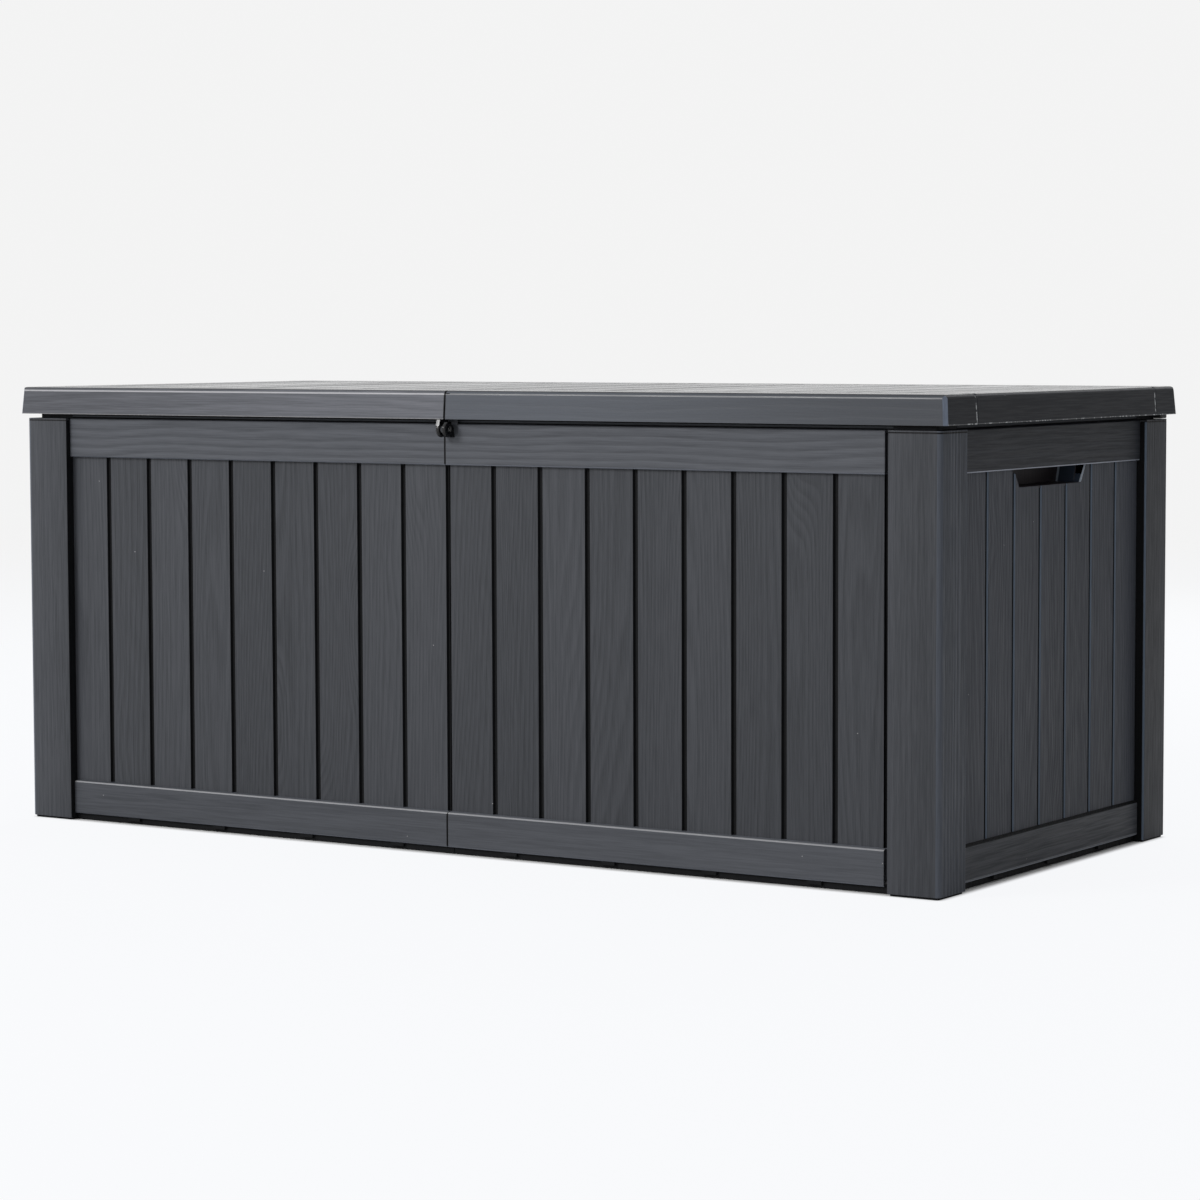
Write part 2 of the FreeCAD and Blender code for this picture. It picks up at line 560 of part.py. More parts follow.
def post(name, side, rear):
    """A hollow corner post, L-shaped in plan, slotted for the panels' tongues."""
    body = new_body(name)
    plan = sketch_on(body, "XY_Plane", "plan", "foot_rise")
    corner_plan(plan, side)
    pad(body, plan, "post_tall - cap_thick - foot_rise")
    foot = sketch_on(body, "XY_Plane", "foot")
    corner_plan(foot, side, "foot_inset")
    pad(body, foot, "foot_rise + foot_thick / 2")
    core = sketch_on(body, "XY_Plane", "core", "post_tall - cap_thick")
    near, inner = f"{side} * wall", f"{side} * (post_thick - wall)"
    end = f"{side} * (post_front_wide - wall)"
    outline(core, [(near, "post_round"), (f"{side} * post_round", "wall"), (end, "wall"),
                   (end, "post_thick - wall"), (inner, "post_thick - wall"),
                   (inner, "post_side_wide - wall"), (near, "post_side_wide - wall")])
    pocket(body, core, "post_tall - cap_thick - foot_rise - foot_thick")
    front_slot = sketch_on(body, "XY_Plane", "front_slot", "post_tall - cap_thick")
    slot_near, slot_far = f"{side} * (post_front_wide - wall * 2)", f"{side} * (post_front_wide + wall)"
    rectangle(front_slot, slot_near, slot_far, "front_plank_recess - fit",
              "front_plank_recess + wall + fit")
    pocket(body, front_slot, "post_tall - cap_thick - bottom_rail_low - fit")
    side_slot = sketch_on(body, "XY_Plane", "side_slot", "post_tall - cap_thick")
    rectangle(side_slot, f"{side} * (side_plank_recess - fit)",
              f"{side} * (side_plank_recess + wall + fit)",
              "post_side_wide - wall * 2", "post_side_wide + wall")
    pocket(body, side_slot, "post_tall - cap_thick - bottom_rail_low - fit")
    place_corner(body, side, rear)
    return body


def post_cap(name, side, rear):
    """The cap of a post, with a plug that drops inside it and the rim that carries on the lip."""
    body = new_body(name)
    plate = sketch_on(body, "XY_Plane", "plate", "post_tall - cap_thick")
    corner_plan(plate, side)
    pad(body, plate, "cap_thick")
    rim = sketch_on(body, "XY_Plane", "rim", "post_tall - cap_thick / 2")
    far = f"{side} * post_front_wide"
    out, inn = f"{side} * side_plank_recess", f"{side} * (side_plank_recess + wall)"
    outline(rim, [(out, "front_plank_recess"), (far, "front_plank_recess"),
                  (far, "front_plank_recess + wall"), (inn, "front_plank_recess + wall"),
                  (inn, "post_side_wide"), (out, "post_side_wide")])
    pad(body, rim, "cap_thick / 2 + lip_tall")
    plug = sketch_on(body, "XY_Plane", "plug", "post_tall - cap_thick - cap_plug")
    rectangle(plug, f"{side} * (wall + fit)", f"{side} * (side_plank_recess - wall)",
              "post_round + fit", "post_thick - wall - fit")
    pad(body, plug, "cap_plug + cap_thick / 2")
    place_corner(body, side, rear)
    return body


def panel_joiner(name, rear):
    """The upright channel that ties two half panels together behind their seam."""
    body = new_body(name)
    plan = sketch_on(body, "XY_Plane", "plan", f"{BOTTOM_RAIL_TOP} + fit")
    near = "front_plank_recess + wall"
    web = "front_plank_recess + groove_deep + wall"
    outer, inner = "(joiner_wide / 2)", "(joiner_wide / 2 - wall)"
    outline(plan, [(f"-{outer}", near), (f"-{inner}", near), (f"-{inner}", web), (inner, web),
                   (inner, near), (outer, near), (outer, f"{web} + wall"), (f"-{outer}", f"{web} + wall")])
    pad(body, plan, f"{TOP_RAIL_LOW} - {BOTTOM_RAIL_TOP} - 2 * fit")
    if rear:
        place(body, y=HALF_DEEP, turn="180")
    else:
        place(body, x="-front_shift", y=f"-{HALF_DEEP}")
    return body


def floor_half(name, side):
    """Half of the floor. Its edge lies in the bottom rails and its ribs stand on the ground."""
    body = new_body(name)
    plate = sketch_on(body, "XY_Plane", "plate", FLOOR_LOW)
    seam_x = f"{side} * seam / 2"
    front_edge, leg_edge = f"({HALF_DEEP} - floor_edge)", f"({HALF_DEEP} - post_thick - fit)"
    side_stop = f"({SIDE_SPAN} - fit)"
    span, leg_x = f"{side} * ({FRONT_SPAN} - fit)", f"{side} * ({HALF_WIDE} - post_thick - fit)"
    end_x = f"{side} * ({HALF_WIDE} - floor_edge - side_rail_recess + front_rail_recess)"
    outline(plate, [
        (seam_x, f"-{front_edge}"), (span, f"-{front_edge}"), (span, f"-{leg_edge}"),
        (leg_x, f"-{leg_edge}"), (leg_x, f"-{side_stop}"), (end_x, f"-{side_stop}"),
        (end_x, side_stop), (leg_x, side_stop), (leg_x, leg_edge), (span, leg_edge),
        (span, front_edge), (seam_x, front_edge),
    ])
    pad(body, plate, "floor_thick")
    deep = f"({HALF_DEEP} - floor_skirt_inset)"
    wide = f"({HALF_WIDE} - floor_skirt_inset)"
    skirt = sketch_on(body, "XY_Plane", "skirt", "wall")
    outline(skirt, [
        (seam_x, f"-{deep}"), (f"{side} * {wide}", f"-{deep}"), (f"{side} * {wide}", deep),
        (seam_x, deep), (seam_x, f"{deep} - wall"), (f"{side} * ({wide} - wall)", f"{deep} - wall"),
        (f"{side} * ({wide} - wall)", f"-{deep} + wall"), (seam_x, f"-{deep} + wall"),
    ])
    pad(body, skirt, "bottom_rail_low + wall / 2")
    first = f"{side} * {FLOOR_PITCH} / 2"
    rib = sketch_on(body, "XY_Plane", "rib")
    rectangle(rib, f"{first} - rail_rib / 2", f"{first} + rail_rib / 2", f"-{deep} + wall / 2",
              f"{deep} - wall / 2")
    repeat(body, pad(body, rib, "bottom_rail_low + wall * 1.5"), "floor_ribs", FLOOR_PITCH,
           backwards=side < 0)
    # The toe is an angle that runs under each bottom rail, from post to post.
    toe_top = "bottom_rail_low - fit"
    end_toe = f"({HALF_WIDE} - side_rail_recess - toe_behind)"
    long_toe = f"({HALF_DEEP} - front_rail_recess - toe_behind)"
    for label, low, end_inner, long_inner in (
        ("plate", f"{toe_top} - wall", f"({wide} - wall / 2)", f"({deep} - wall / 2)"),
        ("lip", "toe_gap", f"({end_toe} - wall)", f"({long_toe} - wall)"),
    ):
        tall = f"{toe_top} - ({low})"
        end_bar = sketch_on(body, "XY_Plane", f"toe_{label}_end", low)
        rectangle(end_bar, f"{side} * {end_inner}", f"{side} * {end_toe}", f"-{side_stop}", side_stop)
        pad(body, end_bar, tall)
        for end in (-1, 1):
            bar = sketch_on(body, "XY_Plane", f"toe_{label}_{'front' if end < 0 else 'rear'}", low)
            rectangle(bar, seam_x, span, f"{end} * {long_inner}", f"{end} * {long_toe}")
            pad(body, bar, tall)
    for end in (-1, 1):
        near = f"{end} * ({deep} - wall / 2)"
        far = f"{end} * ({HALF_DEEP} - front_rail_recess - wall / 2)"
        snap = sketch_on(body, "XY_Plane", f"snap_{'front' if end < 0 else 'rear'}", "wall * 1.5")
        middle = f"{side} * snap_first"
        rectangle(snap, f"{middle} - snap_wide / 2", f"{middle} + snap_wide / 2", near, far)
        repeat(body, pad(body, snap, "bottom_rail_low - fit - wall * 1.5"), "floor_snaps", "snap_pitch",
               backwards=side < 0)
    end_snap = sketch_on(body, "XY_Plane", "snap_end", "wall * 1.5")
    rectangle(end_snap, f"{side} * ({wide} - wall / 2)",
              f"{side} * ({HALF_WIDE} - side_rail_recess - wall / 2)",
              "-(end_snaps - 1) / 2 * snap_pitch - snap_wide / 2",
              "-(end_snaps - 1) / 2 * snap_pitch + snap_wide / 2")
    repeat(body, pad(body, end_snap, "bottom_rail_low - fit - wall * 1.5"), "end_snaps", "snap_pitch",
           along="Y_Axis")
    return body


def floor_beam(name):
    """The beam under the joint of the two floor halves."""
    body = new_body(name)
    profile = sketch_on(body, "XZ_Plane", "profile")
    half = f"({FLOOR_PITCH} / 2 - rail_rib)"
    outline(profile, [
        (f"-{half}", "wall / 2"), (f"-{half} + wall", "wall / 2"),
        (f"-{half} + wall", f"{FLOOR_LOW} - wall"), (f"{half} - wall", f"{FLOOR_LOW} - wall"),
        (f"{half} - wall", "wall / 2"), (half, "wall / 2"),
        (half, FLOOR_LOW), (f"-{half}", FLOOR_LOW),
    ])
    pad(body, profile, f"2 * ({HALF_DEEP} - floor_skirt_inset - wall - fit)", both_ways=True)
    return body


def lid_outline(made, side, shrink, seam_x):
    """The lid half in plan, shrunk on its three free edges."""
    end = f"({HALF_WIDE} + lid_side_over - ({shrink}))"
    front = f"({HALF_DEEP} + lid_front_over - ({shrink}))"
    rear = f"({HALF_DEEP} + lid_rear_over - ({shrink}))"
    outline(made, [
        (seam_x, f"-{front}"), (f"{side} * ({end} - lid_corner)", f"-{front}"),
        (f"{side} * {end}", f"-{front} + lid_corner"), (f"{side} * {end}", f"{rear} - lid_corner"),
        (f"{side} * ({end} - lid_corner)", rear), (seam_x, rear),
    ])


def rounded_edge(way, face):
    """What is cut away to round the lid's top edge, where its outer face leans in.

    way is -1 or +1 for the side that the face looks to. The arc touches the face and the top.
    """
    slant = "sqrt(lid_tall ^ 2 + lid_draft ^ 2)"
    centre_up = f"({LID_TOP} - lid_round)"
    centre = f"({face} - lid_draft * (lid_tall - lid_round) / lid_tall - lid_round * {slant} / lid_tall)"
    low_across = f"{way} * ({centre} + lid_round * lid_tall / {slant})"
    low_up = f"{centre_up} + lid_round * lid_draft / {slant}"
    out = f"{way} * ({face} + lid_round)"
    corners = [(low_across, low_up), (f"{way} * {centre}", LID_TOP),
               (f"{way} * {centre}", f"{LID_TOP} + lid_round"), (out, f"{LID_TOP} + lid_round"),
               (out, low_up)]
    return corners, {0: (f"{way} * {centre}", centre_up, "lid_round")}


def lid_half(name, side):
    """Half of the lid: a moulded shell with boards on top and ribs underneath."""
    body = new_body(name)
    seam_x = f"{side} * lid_seam / 2"
    low = sketch_on(body, "XY_Plane", "edge_low", LID_LOW)
    lid_outline(low, side, "0", seam_x)
    high = sketch_on(body, "XY_Plane", "edge_high", LID_TOP)
    lid_outline(high, side, "lid_draft", seam_x)
    shell = body.newObject("PartDesign::AdditiveLoft", "shell")
    shell.Profile = low
    shell.Sections = [high]
    shell.Ruled = True
    for way, face in ((-1, f"({HALF_DEEP} + lid_front_over)"), (1, f"({HALF_DEEP} + lid_rear_over)")):
        edge = sketch_on(body, "YZ_Plane", "round_front" if way < 0 else "round_rear")
        outline(edge, *rounded_edge(way, face))
        pocket(body, edge, f"2 * ({HALF_WIDE} + lid_side_over)", both_ways=True)
    end_edge = sketch_on(body, "XZ_Plane", "round_end")
    outline(end_edge, *rounded_edge(side, f"({HALF_WIDE} + lid_side_over)"))
    pocket(body, end_edge, "2 * body_deep", both_ways=True)
    inner_low = sketch_on(body, "XY_Plane", "inside_low", LID_LOW)
    lid_outline(inner_low, side, "wall", seam_x)
    inner_high = sketch_on(body, "XY_Plane", "inside_high", LID_UNDER)
    lid_outline(inner_high, side, "wall + lid_draft", seam_x)
    inside = body.newObject("PartDesign::SubtractiveLoft", "inside")
    inside.Profile = inner_low
    inside.Sections = [inner_high]
    inside.Ruled = True
    ring = sketch_on(body, "XY_Plane", "seal_rib", f"{LIP_TOP} + fit")
    end = f"({HALF_WIDE} - side_plank_recess)"
    deep = f"({HALF_DEEP} - front_plank_recess)"
    outline(ring, [
        (seam_x, f"-{deep}"), (f"{side} * {end}", f"-{deep}"), (f"{side} * {end}", deep), (seam_x, deep),
        (seam_x, f"{deep} - wall"), (f"{side} * ({end} - wall)", f"{deep} - wall"),
        (f"{side} * ({end} - wall)", f"-{deep} + wall"), (seam_x, f"-{deep} + wall"),
    ])
    pad(body, ring, f"{LID_UNDER} + wall / 2 - {LIP_TOP} - fit")
    boss = sketch_on(body, "XY_Plane", "strut_boss", f"{LID_UNDER} - boss_tall")
    rectangle(boss, f"{side} * ({STRUT_X} - bracket_wide / 2)", f"{side} * ({STRUT_X} + bracket_wide / 2)",
              f"{UPPER_Y} - bracket_wide / 2", f"{UPPER_Y} + bracket_wide / 2")
    pad(body, boss, "boss_tall + wall / 2")
    front_groove = f"(-{HALF_DEEP} - lid_front_over + lid_front_board)"
    rear_groove = f"({HALF_DEEP} + lid_rear_over - lid_rear_board)"
    first = f"{side} * lid_first_groove"
    rib = sketch_on(body, "XY_Plane", "plank_rib", RIB_UNDER)
    rectangle(rib, f"{first} - lid_rib_wide / 2", f"{first} + lid_rib_wide / 2",
              f"-{deep} + wall / 2", f"{deep} - wall / 2")
    repeat(body, pad(body, rib, "lid_rib_tall + wall / 2"), "lid_planks + 1", LID_PITCH,
           backwards=side < 0)
    for label, middle in (("front_rib", front_groove), ("rear_rib", rear_groove)):
        board_rib = sketch_on(body, "XY_Plane", label, RIB_UNDER)
        rectangle(board_rib, seam_x, f"{side} * ({end} - wall / 2)", f"{middle} - lid_rib_wide / 2",
                  f"{middle} + lid_rib_wide / 2")
        pad(body, board_rib, "lid_rib_tall + wall / 2")
    cut = sketch_on(body, "XY_Plane", "plank_groove", LID_TOP)
    rectangle(cut, f"{first} - lid_groove_wide / 2", f"{first} + lid_groove_wide / 2",
              front_groove, rear_groove)
    repeat(body, pocket(body, cut, "lid_groove_deep"), "lid_planks + 1", LID_PITCH,
           backwards=side < 0)
    boards = sketch_on(body, "XY_Plane", "board_grooves", LID_TOP)
    stop = f"{side} * ({HALF_WIDE} + lid_side_over)"
    for middle in (front_groove, rear_groove):
        rectangle(boards, f"-{side} * wall", stop, f"{middle} - lid_groove_wide / 2",
                  f"{middle} + lid_groove_wide / 2")
    pocket(body, boards, "lid_groove_deep")
    for label, middle in (("front_joint", front_groove), ("rear_joint", rear_groove)):
        joint = sketch_on(body, "XZ_Plane", label, f"-{middle}")
        face = f"({HALF_WIDE} + lid_side_over)"
        outline(joint, [
            (f"{side} * ({face} - board_joint_deep)", LID_LOW),
            (f"{side} * ({face} + board_joint_deep)", LID_LOW),
            (f"{side} * ({face} + board_joint_deep - lid_draft)", LID_TOP),
            (f"{side} * ({face} - board_joint_deep - lid_draft)", LID_TOP),
        ])
        pocket(body, joint, "board_joint", both_ways=True)
    holes = sketch_on(body, "XZ_Plane", "hinge_holes", f"-({HALF_DEEP} + lid_rear_over - wall * 2)")
    for hinge in ("hinge_inner", "hinge_outer"):
        for step in (-0.5, 0.5):
            circle(holes, f"{side} * {hinge} + {step} * lid_screw_step", f"{LID_LOW} + lid_screw_rise",
                   "screw_round + 2 * fit")
    pocket(body, holes, "wall * 3")
    boss_holes = sketch_on(body, "XY_Plane", "boss_holes", f"{LID_UNDER} - boss_tall")
    for step in (-0.5, 0.5):
        circle(boss_holes, f"{side} * ({STRUT_X} - bracket_thick)", f"{UPPER_Y} + {step} * lid_bracket_step",
               "screw_round + 2 * fit")
    pocket(body, boss_holes, "boss_tall", backwards=True)
    return body


def lid_joiner(name):
    """The strip that ties the two halves of the lid under their seam."""
    body = new_body(name)
    plan = sketch_on(body, "XY_Plane", "plan", f"{RIB_UNDER} - wall")
    half = "(lid_first_groove + lid_rib_wide)"
    deep = f"({HALF_DEEP} - front_plank_recess - wall - fit)"
    rectangle(plan, f"-{half}", half, f"-{deep}", deep)
    pad(body, plan, "wall")
    return body


def lid_tube(name, middle):
    """A steel tube that stiffens the lid from end to end."""
    body = new_body(name)
    section = sketch_on(body, "YZ_Plane", "section")
    circle(section, "0", "0", "tube_round")
    circle(section, "0", "0", "tube_round - 2 * tube_wall")
    pad(body, section, f"2 * ({STRUT_X} - tube_inset)", both_ways=True)
    place(body, y=middle, z=f"{RIB_UNDER} - wall - fit - tube_round / 2")
    return body


def tube_saddles(name):
    """Blocks under the lid's ribs that hold the two tubes."""
    blocks = []
    for middle in ("-tube_front_back", "tube_rear_back"):
        for side, plank in SADDLE_BOARDS:
            x = f"({side} * (lid_first_groove + {plank} * {LID_PITCH}))"
            block = doc.addObject("Part::Box", "saddle_block")
            block.setExpression("Length", linked("saddle_wide"))
            block.setExpression("Width", linked("saddle_deep"))
            block.setExpression("Height", linked("tube_round + 2 * wall + fit"))
            place(block, f"{x} - saddle_wide / 2", f"{middle} - saddle_deep / 2",
                  f"{RIB_UNDER} - tube_round - 2 * wall - fit")
            bore = doc.addObject("Part::Cylinder", "saddle_bore")
            bore.setExpression("Radius", linked("tube_round / 2 + fit / 2"))
            bore.setExpression("Height", linked("saddle_wide * 2"))
            place(bore, f"{x} - saddle_wide", middle, f"{RIB_UNDER} - wall - fit - tube_round / 2",
                  turn="90", axis=Vector(0, 1, 0))
            saddle = doc.addObject("Part::Cut", "saddle")
            saddle.Base = block
            saddle.Tool = bore
            blocks.append(saddle)
    group = doc.addObject("Part::Compound", name)
    group.Label = name
    group.Links = blocks
    return group


def box_leaf(name, middle):
    """The hinge leaf on the rear rail, with a knuckle at each end."""
    body = new_body(name)
    face = f"({HALF_DEEP} - front_rail_recess)"
    plate = sketch_on(body, "YZ_Plane", "plate")
    rectangle(plate, face, f"{face} + leaf_thick", f"{AXIS_Z} - leaf_tall", "post_tall")
    pad(body, plate, "leaf_wide", both_ways=True)
    arm = sketch_on(body, "YZ_Plane", "arm")
    outline(arm, [
        (f"{face} + leaf_thick / 2", f"{AXIS_Z} - arm_low"),
        (f"{face} + leaf_thick", f"{AXIS_Z} - arm_low"),
        (f"{AXIS_Y} + arm_out", f"{AXIS_Z} - arm_drop"),
        (AXIS_Y, AXIS_Z), (f"{face} + leaf_thick / 2", "post_tall"),
    ])
    pad(body, arm, "leaf_wide", both_ways=True)
    barrel = sketch_on(body, "YZ_Plane", "barrel")
    circle(barrel, AXIS_Y, AXIS_Z, "knuckle_round")
    pad(body, barrel, "leaf_wide", both_ways=True)
    gap = sketch_on(body, "XZ_Plane", "gap", f"-({AXIS_Y} - knuckle_round / 2 - leaf_thick)")
    rectangle(gap, "-lid_knuckle_wide / 2 - knuckle_gap", "lid_knuckle_wide / 2 + knuckle_gap",
              f"{AXIS_Z} - knuckle_round", f"{AXIS_Z} + knuckle_round")
    pocket(body, gap, "knuckle_round * 2")
    bore = sketch_on(body, "YZ_Plane", "bore")
    circle(bore, AXIS_Y, AXIS_Z, "pin_round + 2 * pin_fit")
    pocket(body, bore, "leaf_wide * 2", both_ways=True)
    holes = sketch_on(body, "XZ_Plane", "screw_holes", f"-({face} - fit)")
    for step in (-1, 0, 1):
        circle(holes, f"{step} * box_screw_step", f"{AXIS_Z} - box_screw_drop", "screw_round + fit")
    pocket(body, holes, "leaf_thick * 2")
    place(body, x=middle)
    return body


def lid_leaf(name, middle):
    """The hinge leaf on the lid's rear edge, with the middle knuckle."""
    body = new_body(name)
    face = f"({HALF_DEEP} + lid_rear_over)"
    rise = f"({LID_LOW} + fit)"
    top = f"({LID_LOW} + lid_leaf_tall)"
    slope = "(lid_draft * lid_leaf_tall / lid_tall)"
    plate = sketch_on(body, "YZ_Plane", "plate")
    outline(plate, [
        (face, rise), (f"{face} + leaf_thick", rise), (f"{face} + leaf_thick - {slope}", top),
        (f"{face} - {slope}", top),
    ])
    pad(body, plate, "leaf_wide", both_ways=True)
    neck = sketch_on(body, "YZ_Plane", "neck")
    outline(neck, [
        (AXIS_Y, AXIS_Z),
        (f"{AXIS_Y} + knuckle_round / 2 - neck_inset", f"{AXIS_Z} + neck_inset"),
        (f"{face} + leaf_thick", f"{rise} + neck_rise"), (face, f"{rise} + neck_rise"), (face, rise),
    ])
    pad(body, neck, "lid_knuckle_wide", both_ways=True)
    barrel = sketch_on(body, "YZ_Plane", "barrel")
    circle(barrel, AXIS_Y, AXIS_Z, "knuckle_round")
    pad(body, barrel, "lid_knuckle_wide", both_ways=True)
    bore = sketch_on(body, "YZ_Plane", "bore")
    circle(bore, AXIS_Y, AXIS_Z, "pin_round + 2 * pin_fit")
    pocket(body, bore, "leaf_wide * 2", both_ways=True)
    holes = sketch_on(body, "XZ_Plane", "screw_holes", f"-({face} - leaf_thick)")
    for step in (-0.5, 0.5):
        circle(holes, f"{step} * lid_screw_step", f"{LID_LOW} + lid_screw_rise", "screw_round + fit")
    pocket(body, holes, "leaf_thick * 3")
    place(body, x=middle)
    return body


def turned(name, radius, height, x, y, z, turn, axis):
    """A plain turned length, placed by formulas."""
    made = doc.addObject("Part::Cylinder", name)
    made.setExpression("Radius", linked(radius))
    made.setExpression("Height", linked(height))
    place(made, x, y, z, turn=turn, axis=axis)
    return made


def fused(name, pieces):
    made = doc.addObject("Part::MultiFuse", name)
    made.Shapes = pieces
    return made


def hinge_pins(name):
    """The four hinge pins, each with a flat head."""
    pins = []
    for middle in HINGES:
        start = f"{middle} - leaf_wide / 2"
        along = {"turn": "90", "axis": Vector(0, 1, 0)}
        shank = turned("pin_shank", "pin_round / 2", "leaf_wide + pin_head_long", start, AXIS_Y,
                       AXIS_Z, **along)
        head = turned("pin_head", "pin_head / 2", "pin_head_long",
                      f"{start} - pin_head_long", AXIS_Y, AXIS_Z, **along)
        pins.append(fused("hinge_pin", [shank, head]))
    group = doc.addObject("Part::Compound", name)
    group.Label = name
    group.Links = pins
    return group


def screws(name, spots, turn, axis, way):
    """A group of pan-head screws on the spots under their heads. way is where the heads face."""
    made = []
    for spot in spots:
        head = turned("screw_head", "screw_head / 2", "screw_head_tall", *spot, turn, axis)
        point = [f"{across} - ({step}) * screw_long" if step else across
                 for across, step in zip(spot, way)]
        shank = turned("screw_shank", "screw_round / 2", "screw_long + screw_head_tall / 2", *point,
                       turn, axis)
        made.append(fused("screw", [head, shank]))
    group = doc.addObject("Part::Compound", name)
    group.Label = name
    group.Links = made
    return group


def box_bracket(name, side):
    """The plate on the side panel with the stud for a strut's lower eye."""
    body = new_body(name)
    plate = sketch_on(body, "YZ_Plane", "plate")
    half, tall, cut = "bracket_wide / 2", "bracket_tall / 2", "bracket_corner"
    outline(plate, [
        (f"-{half}", f"-{tall} + {cut}"), (f"-{half} + {cut}", f"-{tall}"),
        (f"{half} - {cut}", f"-{tall}"), (half, f"-{tall} + {cut}"),
        (half, f"{tall} - {cut}"), (f"{half} - {cut}", tall),
        (f"-{half} + {cut}", tall), (f"-{half}", f"{tall} - {cut}"),
    ])
    pad(body, plate, "bracket_thick", backwards=side > 0)
    stud = sketch_on(body, "YZ_Plane", "stud")
    circle(stud, "0", "0", "stud_round")
    reach = "(strut_inset - post_thick + eye_wide / 2 + fit)"
    pad(body, stud, f"{reach} + stud_head_long", backwards=side > 0)
    head = sketch_on(body, "YZ_Plane", "head", f"-{side} * {reach}")
    circle(head, "0", "0", "stud_head")
    pad(body, head, "stud_head_long", backwards=side > 0)
    collar = sketch_on(body, "YZ_Plane", "collar")
    circle(collar, "0", "0", "stud_head")
    pad(body, collar, "strut_inset - post_thick - eye_wide / 2 - fit", backwards=side > 0)
    holes = sketch_on(body, "YZ_Plane", "screw_holes", f"-{side} * bracket_thick")
    for step_across in (-0.5, 0.5):
        for step_up in (-0.5, 0.5):
            circle(holes, f"{step_across} * bracket_step_wide", f"{step_up} * bracket_step_tall",
                   "screw_round + fit")
    pocket(body, holes, "bracket_thick", backwards=side > 0)
    place(body, x=f"{side} * ({HALF_WIDE} - post_thick)", y=LOWER_Y, z=LOWER_Z)
    return body


def lid_bracket(name, side):
    """The folded plate under the lid with the stud for a strut's upper eye."""
    body = new_body(name)
    drop = f"({LID_UNDER} - boss_tall - {UPPER_Z})"
    back = "(eye_wide / 2 + fit + bracket_thick * 2)"
    plate = sketch_on(body, "YZ_Plane", "plate", f"{side} * ({back} - bracket_thick)")
    outline(plate, [
        ("-stud_head", "-stud_round"), ("stud_head", "-stud_round"),
        ("bracket_wide / 2", drop), ("-bracket_wide / 2", drop),
    ])
    pad(body, plate, "bracket_thick", backwards=side < 0)
    flange = sketch_on(body, "XY_Plane", "flange", f"{drop} - bracket_thick")
    rectangle(flange, f"{side} * {back}", f"-{side} * (eye_wide / 2 + bracket_thick * 2)",
              "-bracket_wide / 2", "bracket_wide / 2")
    pad(body, flange, "bracket_thick")
    collar = sketch_on(body, "YZ_Plane", "collar", f"{side} * (eye_wide / 2 + fit)")
    circle(collar, "0", "0", "stud_head")
    pad(body, collar, "bracket_thick", backwards=side < 0)
    stud = sketch_on(body, "YZ_Plane", "stud", f"{side} * ({back} - bracket_thick / 2)")
    circle(stud, "0", "0", "stud_round")
    length = f"{back} - bracket_thick / 2 + eye_wide / 2 + fit"
    pad(body, stud, f"{length} + stud_head_long", backwards=side > 0)
    head = sketch_on(body, "YZ_Plane", "head", f"-{side} * (eye_wide / 2 + fit)")
    circle(head, "0", "0", "stud_head")
    pad(body, head, "stud_head_long", backwards=side > 0)
    holes = sketch_on(body, "XY_Plane", "screw_holes", f"{drop} - bracket_thick")
    for step in (-0.5, 0.5):
        circle(holes, f"-{side} * bracket_thick", f"{step} * lid_bracket_step", "screw_round + fit")
    pocket(body, holes, "bracket_thick", backwards=True)
    place(body, x=f"{side} * {STRUT_X}", y=UPPER_Y, z=UPPER_Z)
    return body


def along_strut(body, side):
    """Put a strut piece on the line between its two pivots. Its Z runs from the lower one up."""
    place(body, x=f"{side} * {STRUT_X}", y=LOWER_Y, z=LOWER_Z, turn=STRUT_LEAN, axis=Vector(1, 0, 0))


def strut_cylinder(name, side):
    """The pressure tube with its closed end."""
    body = new_body(name)
    outside = sketch_on(body, "XY_Plane", "outside", "cylinder_start")
    circle(outside, "0", "0", "cylinder_round")
    pad(body, outside, "cylinder_long")
    bore = sketch_on(body, "XY_Plane", "bore", "cylinder_start + cylinder_long")
    circle(bore, "0", "0", "cylinder_bore")
    pocket(body, bore, "cylinder_long - plug_long")
    along_strut(body, side)
    return body


def strut_gland(name, side):
    """The ring that guides the rod."""
    body = new_body(name)
    ring = sketch_on(body, "XY_Plane", "ring", "cylinder_start + cylinder_long - gland_long")
    circle(ring, "0", "0", "cylinder_bore")
    circle(ring, "0", "0", "rod_round + 2 * pin_fit")
    pad(body, ring, "gland_long")
    along_strut(body, side)
    return body


def strut_eye(name, side, upper):
    """A strut's end eye on its stud, with the neck that carries the tube or rod."""
    body = new_body(name)
    middle = STRUT_CLOSED if upper else "0"
    ring = sketch_on(body, "YZ_Plane", "ring")
    circle(ring, "0", middle, "eye_round")
    pad(body, ring, "eye_wide", both_ways=True)
    if upper:
        start = f"{STRUT_CLOSED} - eye_round / 2 - wall"
        neck_long = "eye_round / 4 + wall"
    else:
        start = "eye_round / 4"
        neck_long = "cylinder_start - eye_round / 4"
    neck = sketch_on(body, "XY_Plane", "neck", start)
    circle(neck, "0", "0", "neck_round")
    pad(body, neck, neck_long)
    bore = sketch_on(body, "YZ_Plane", "bore")
    circle(bore, "0", middle, "stud_round + 2 * pin_fit")
    pocket(body, bore, "eye_wide * 2", both_ways=True)
    along_strut(body, side)
    return body


def strut_rod(name, side):
    """The polished rod, from its piston to the upper eye's neck."""
    body = new_body(name)
    rod = sketch_on(body, "XY_Plane", "rod", "rod_start + piston_long")
    circle(rod, "0", "0", "rod_round")
    pad(body, rod, f"{STRUT_CLOSED} - eye_round / 2 - wall - rod_start - piston_long")
    along_strut(body, side)
    return body


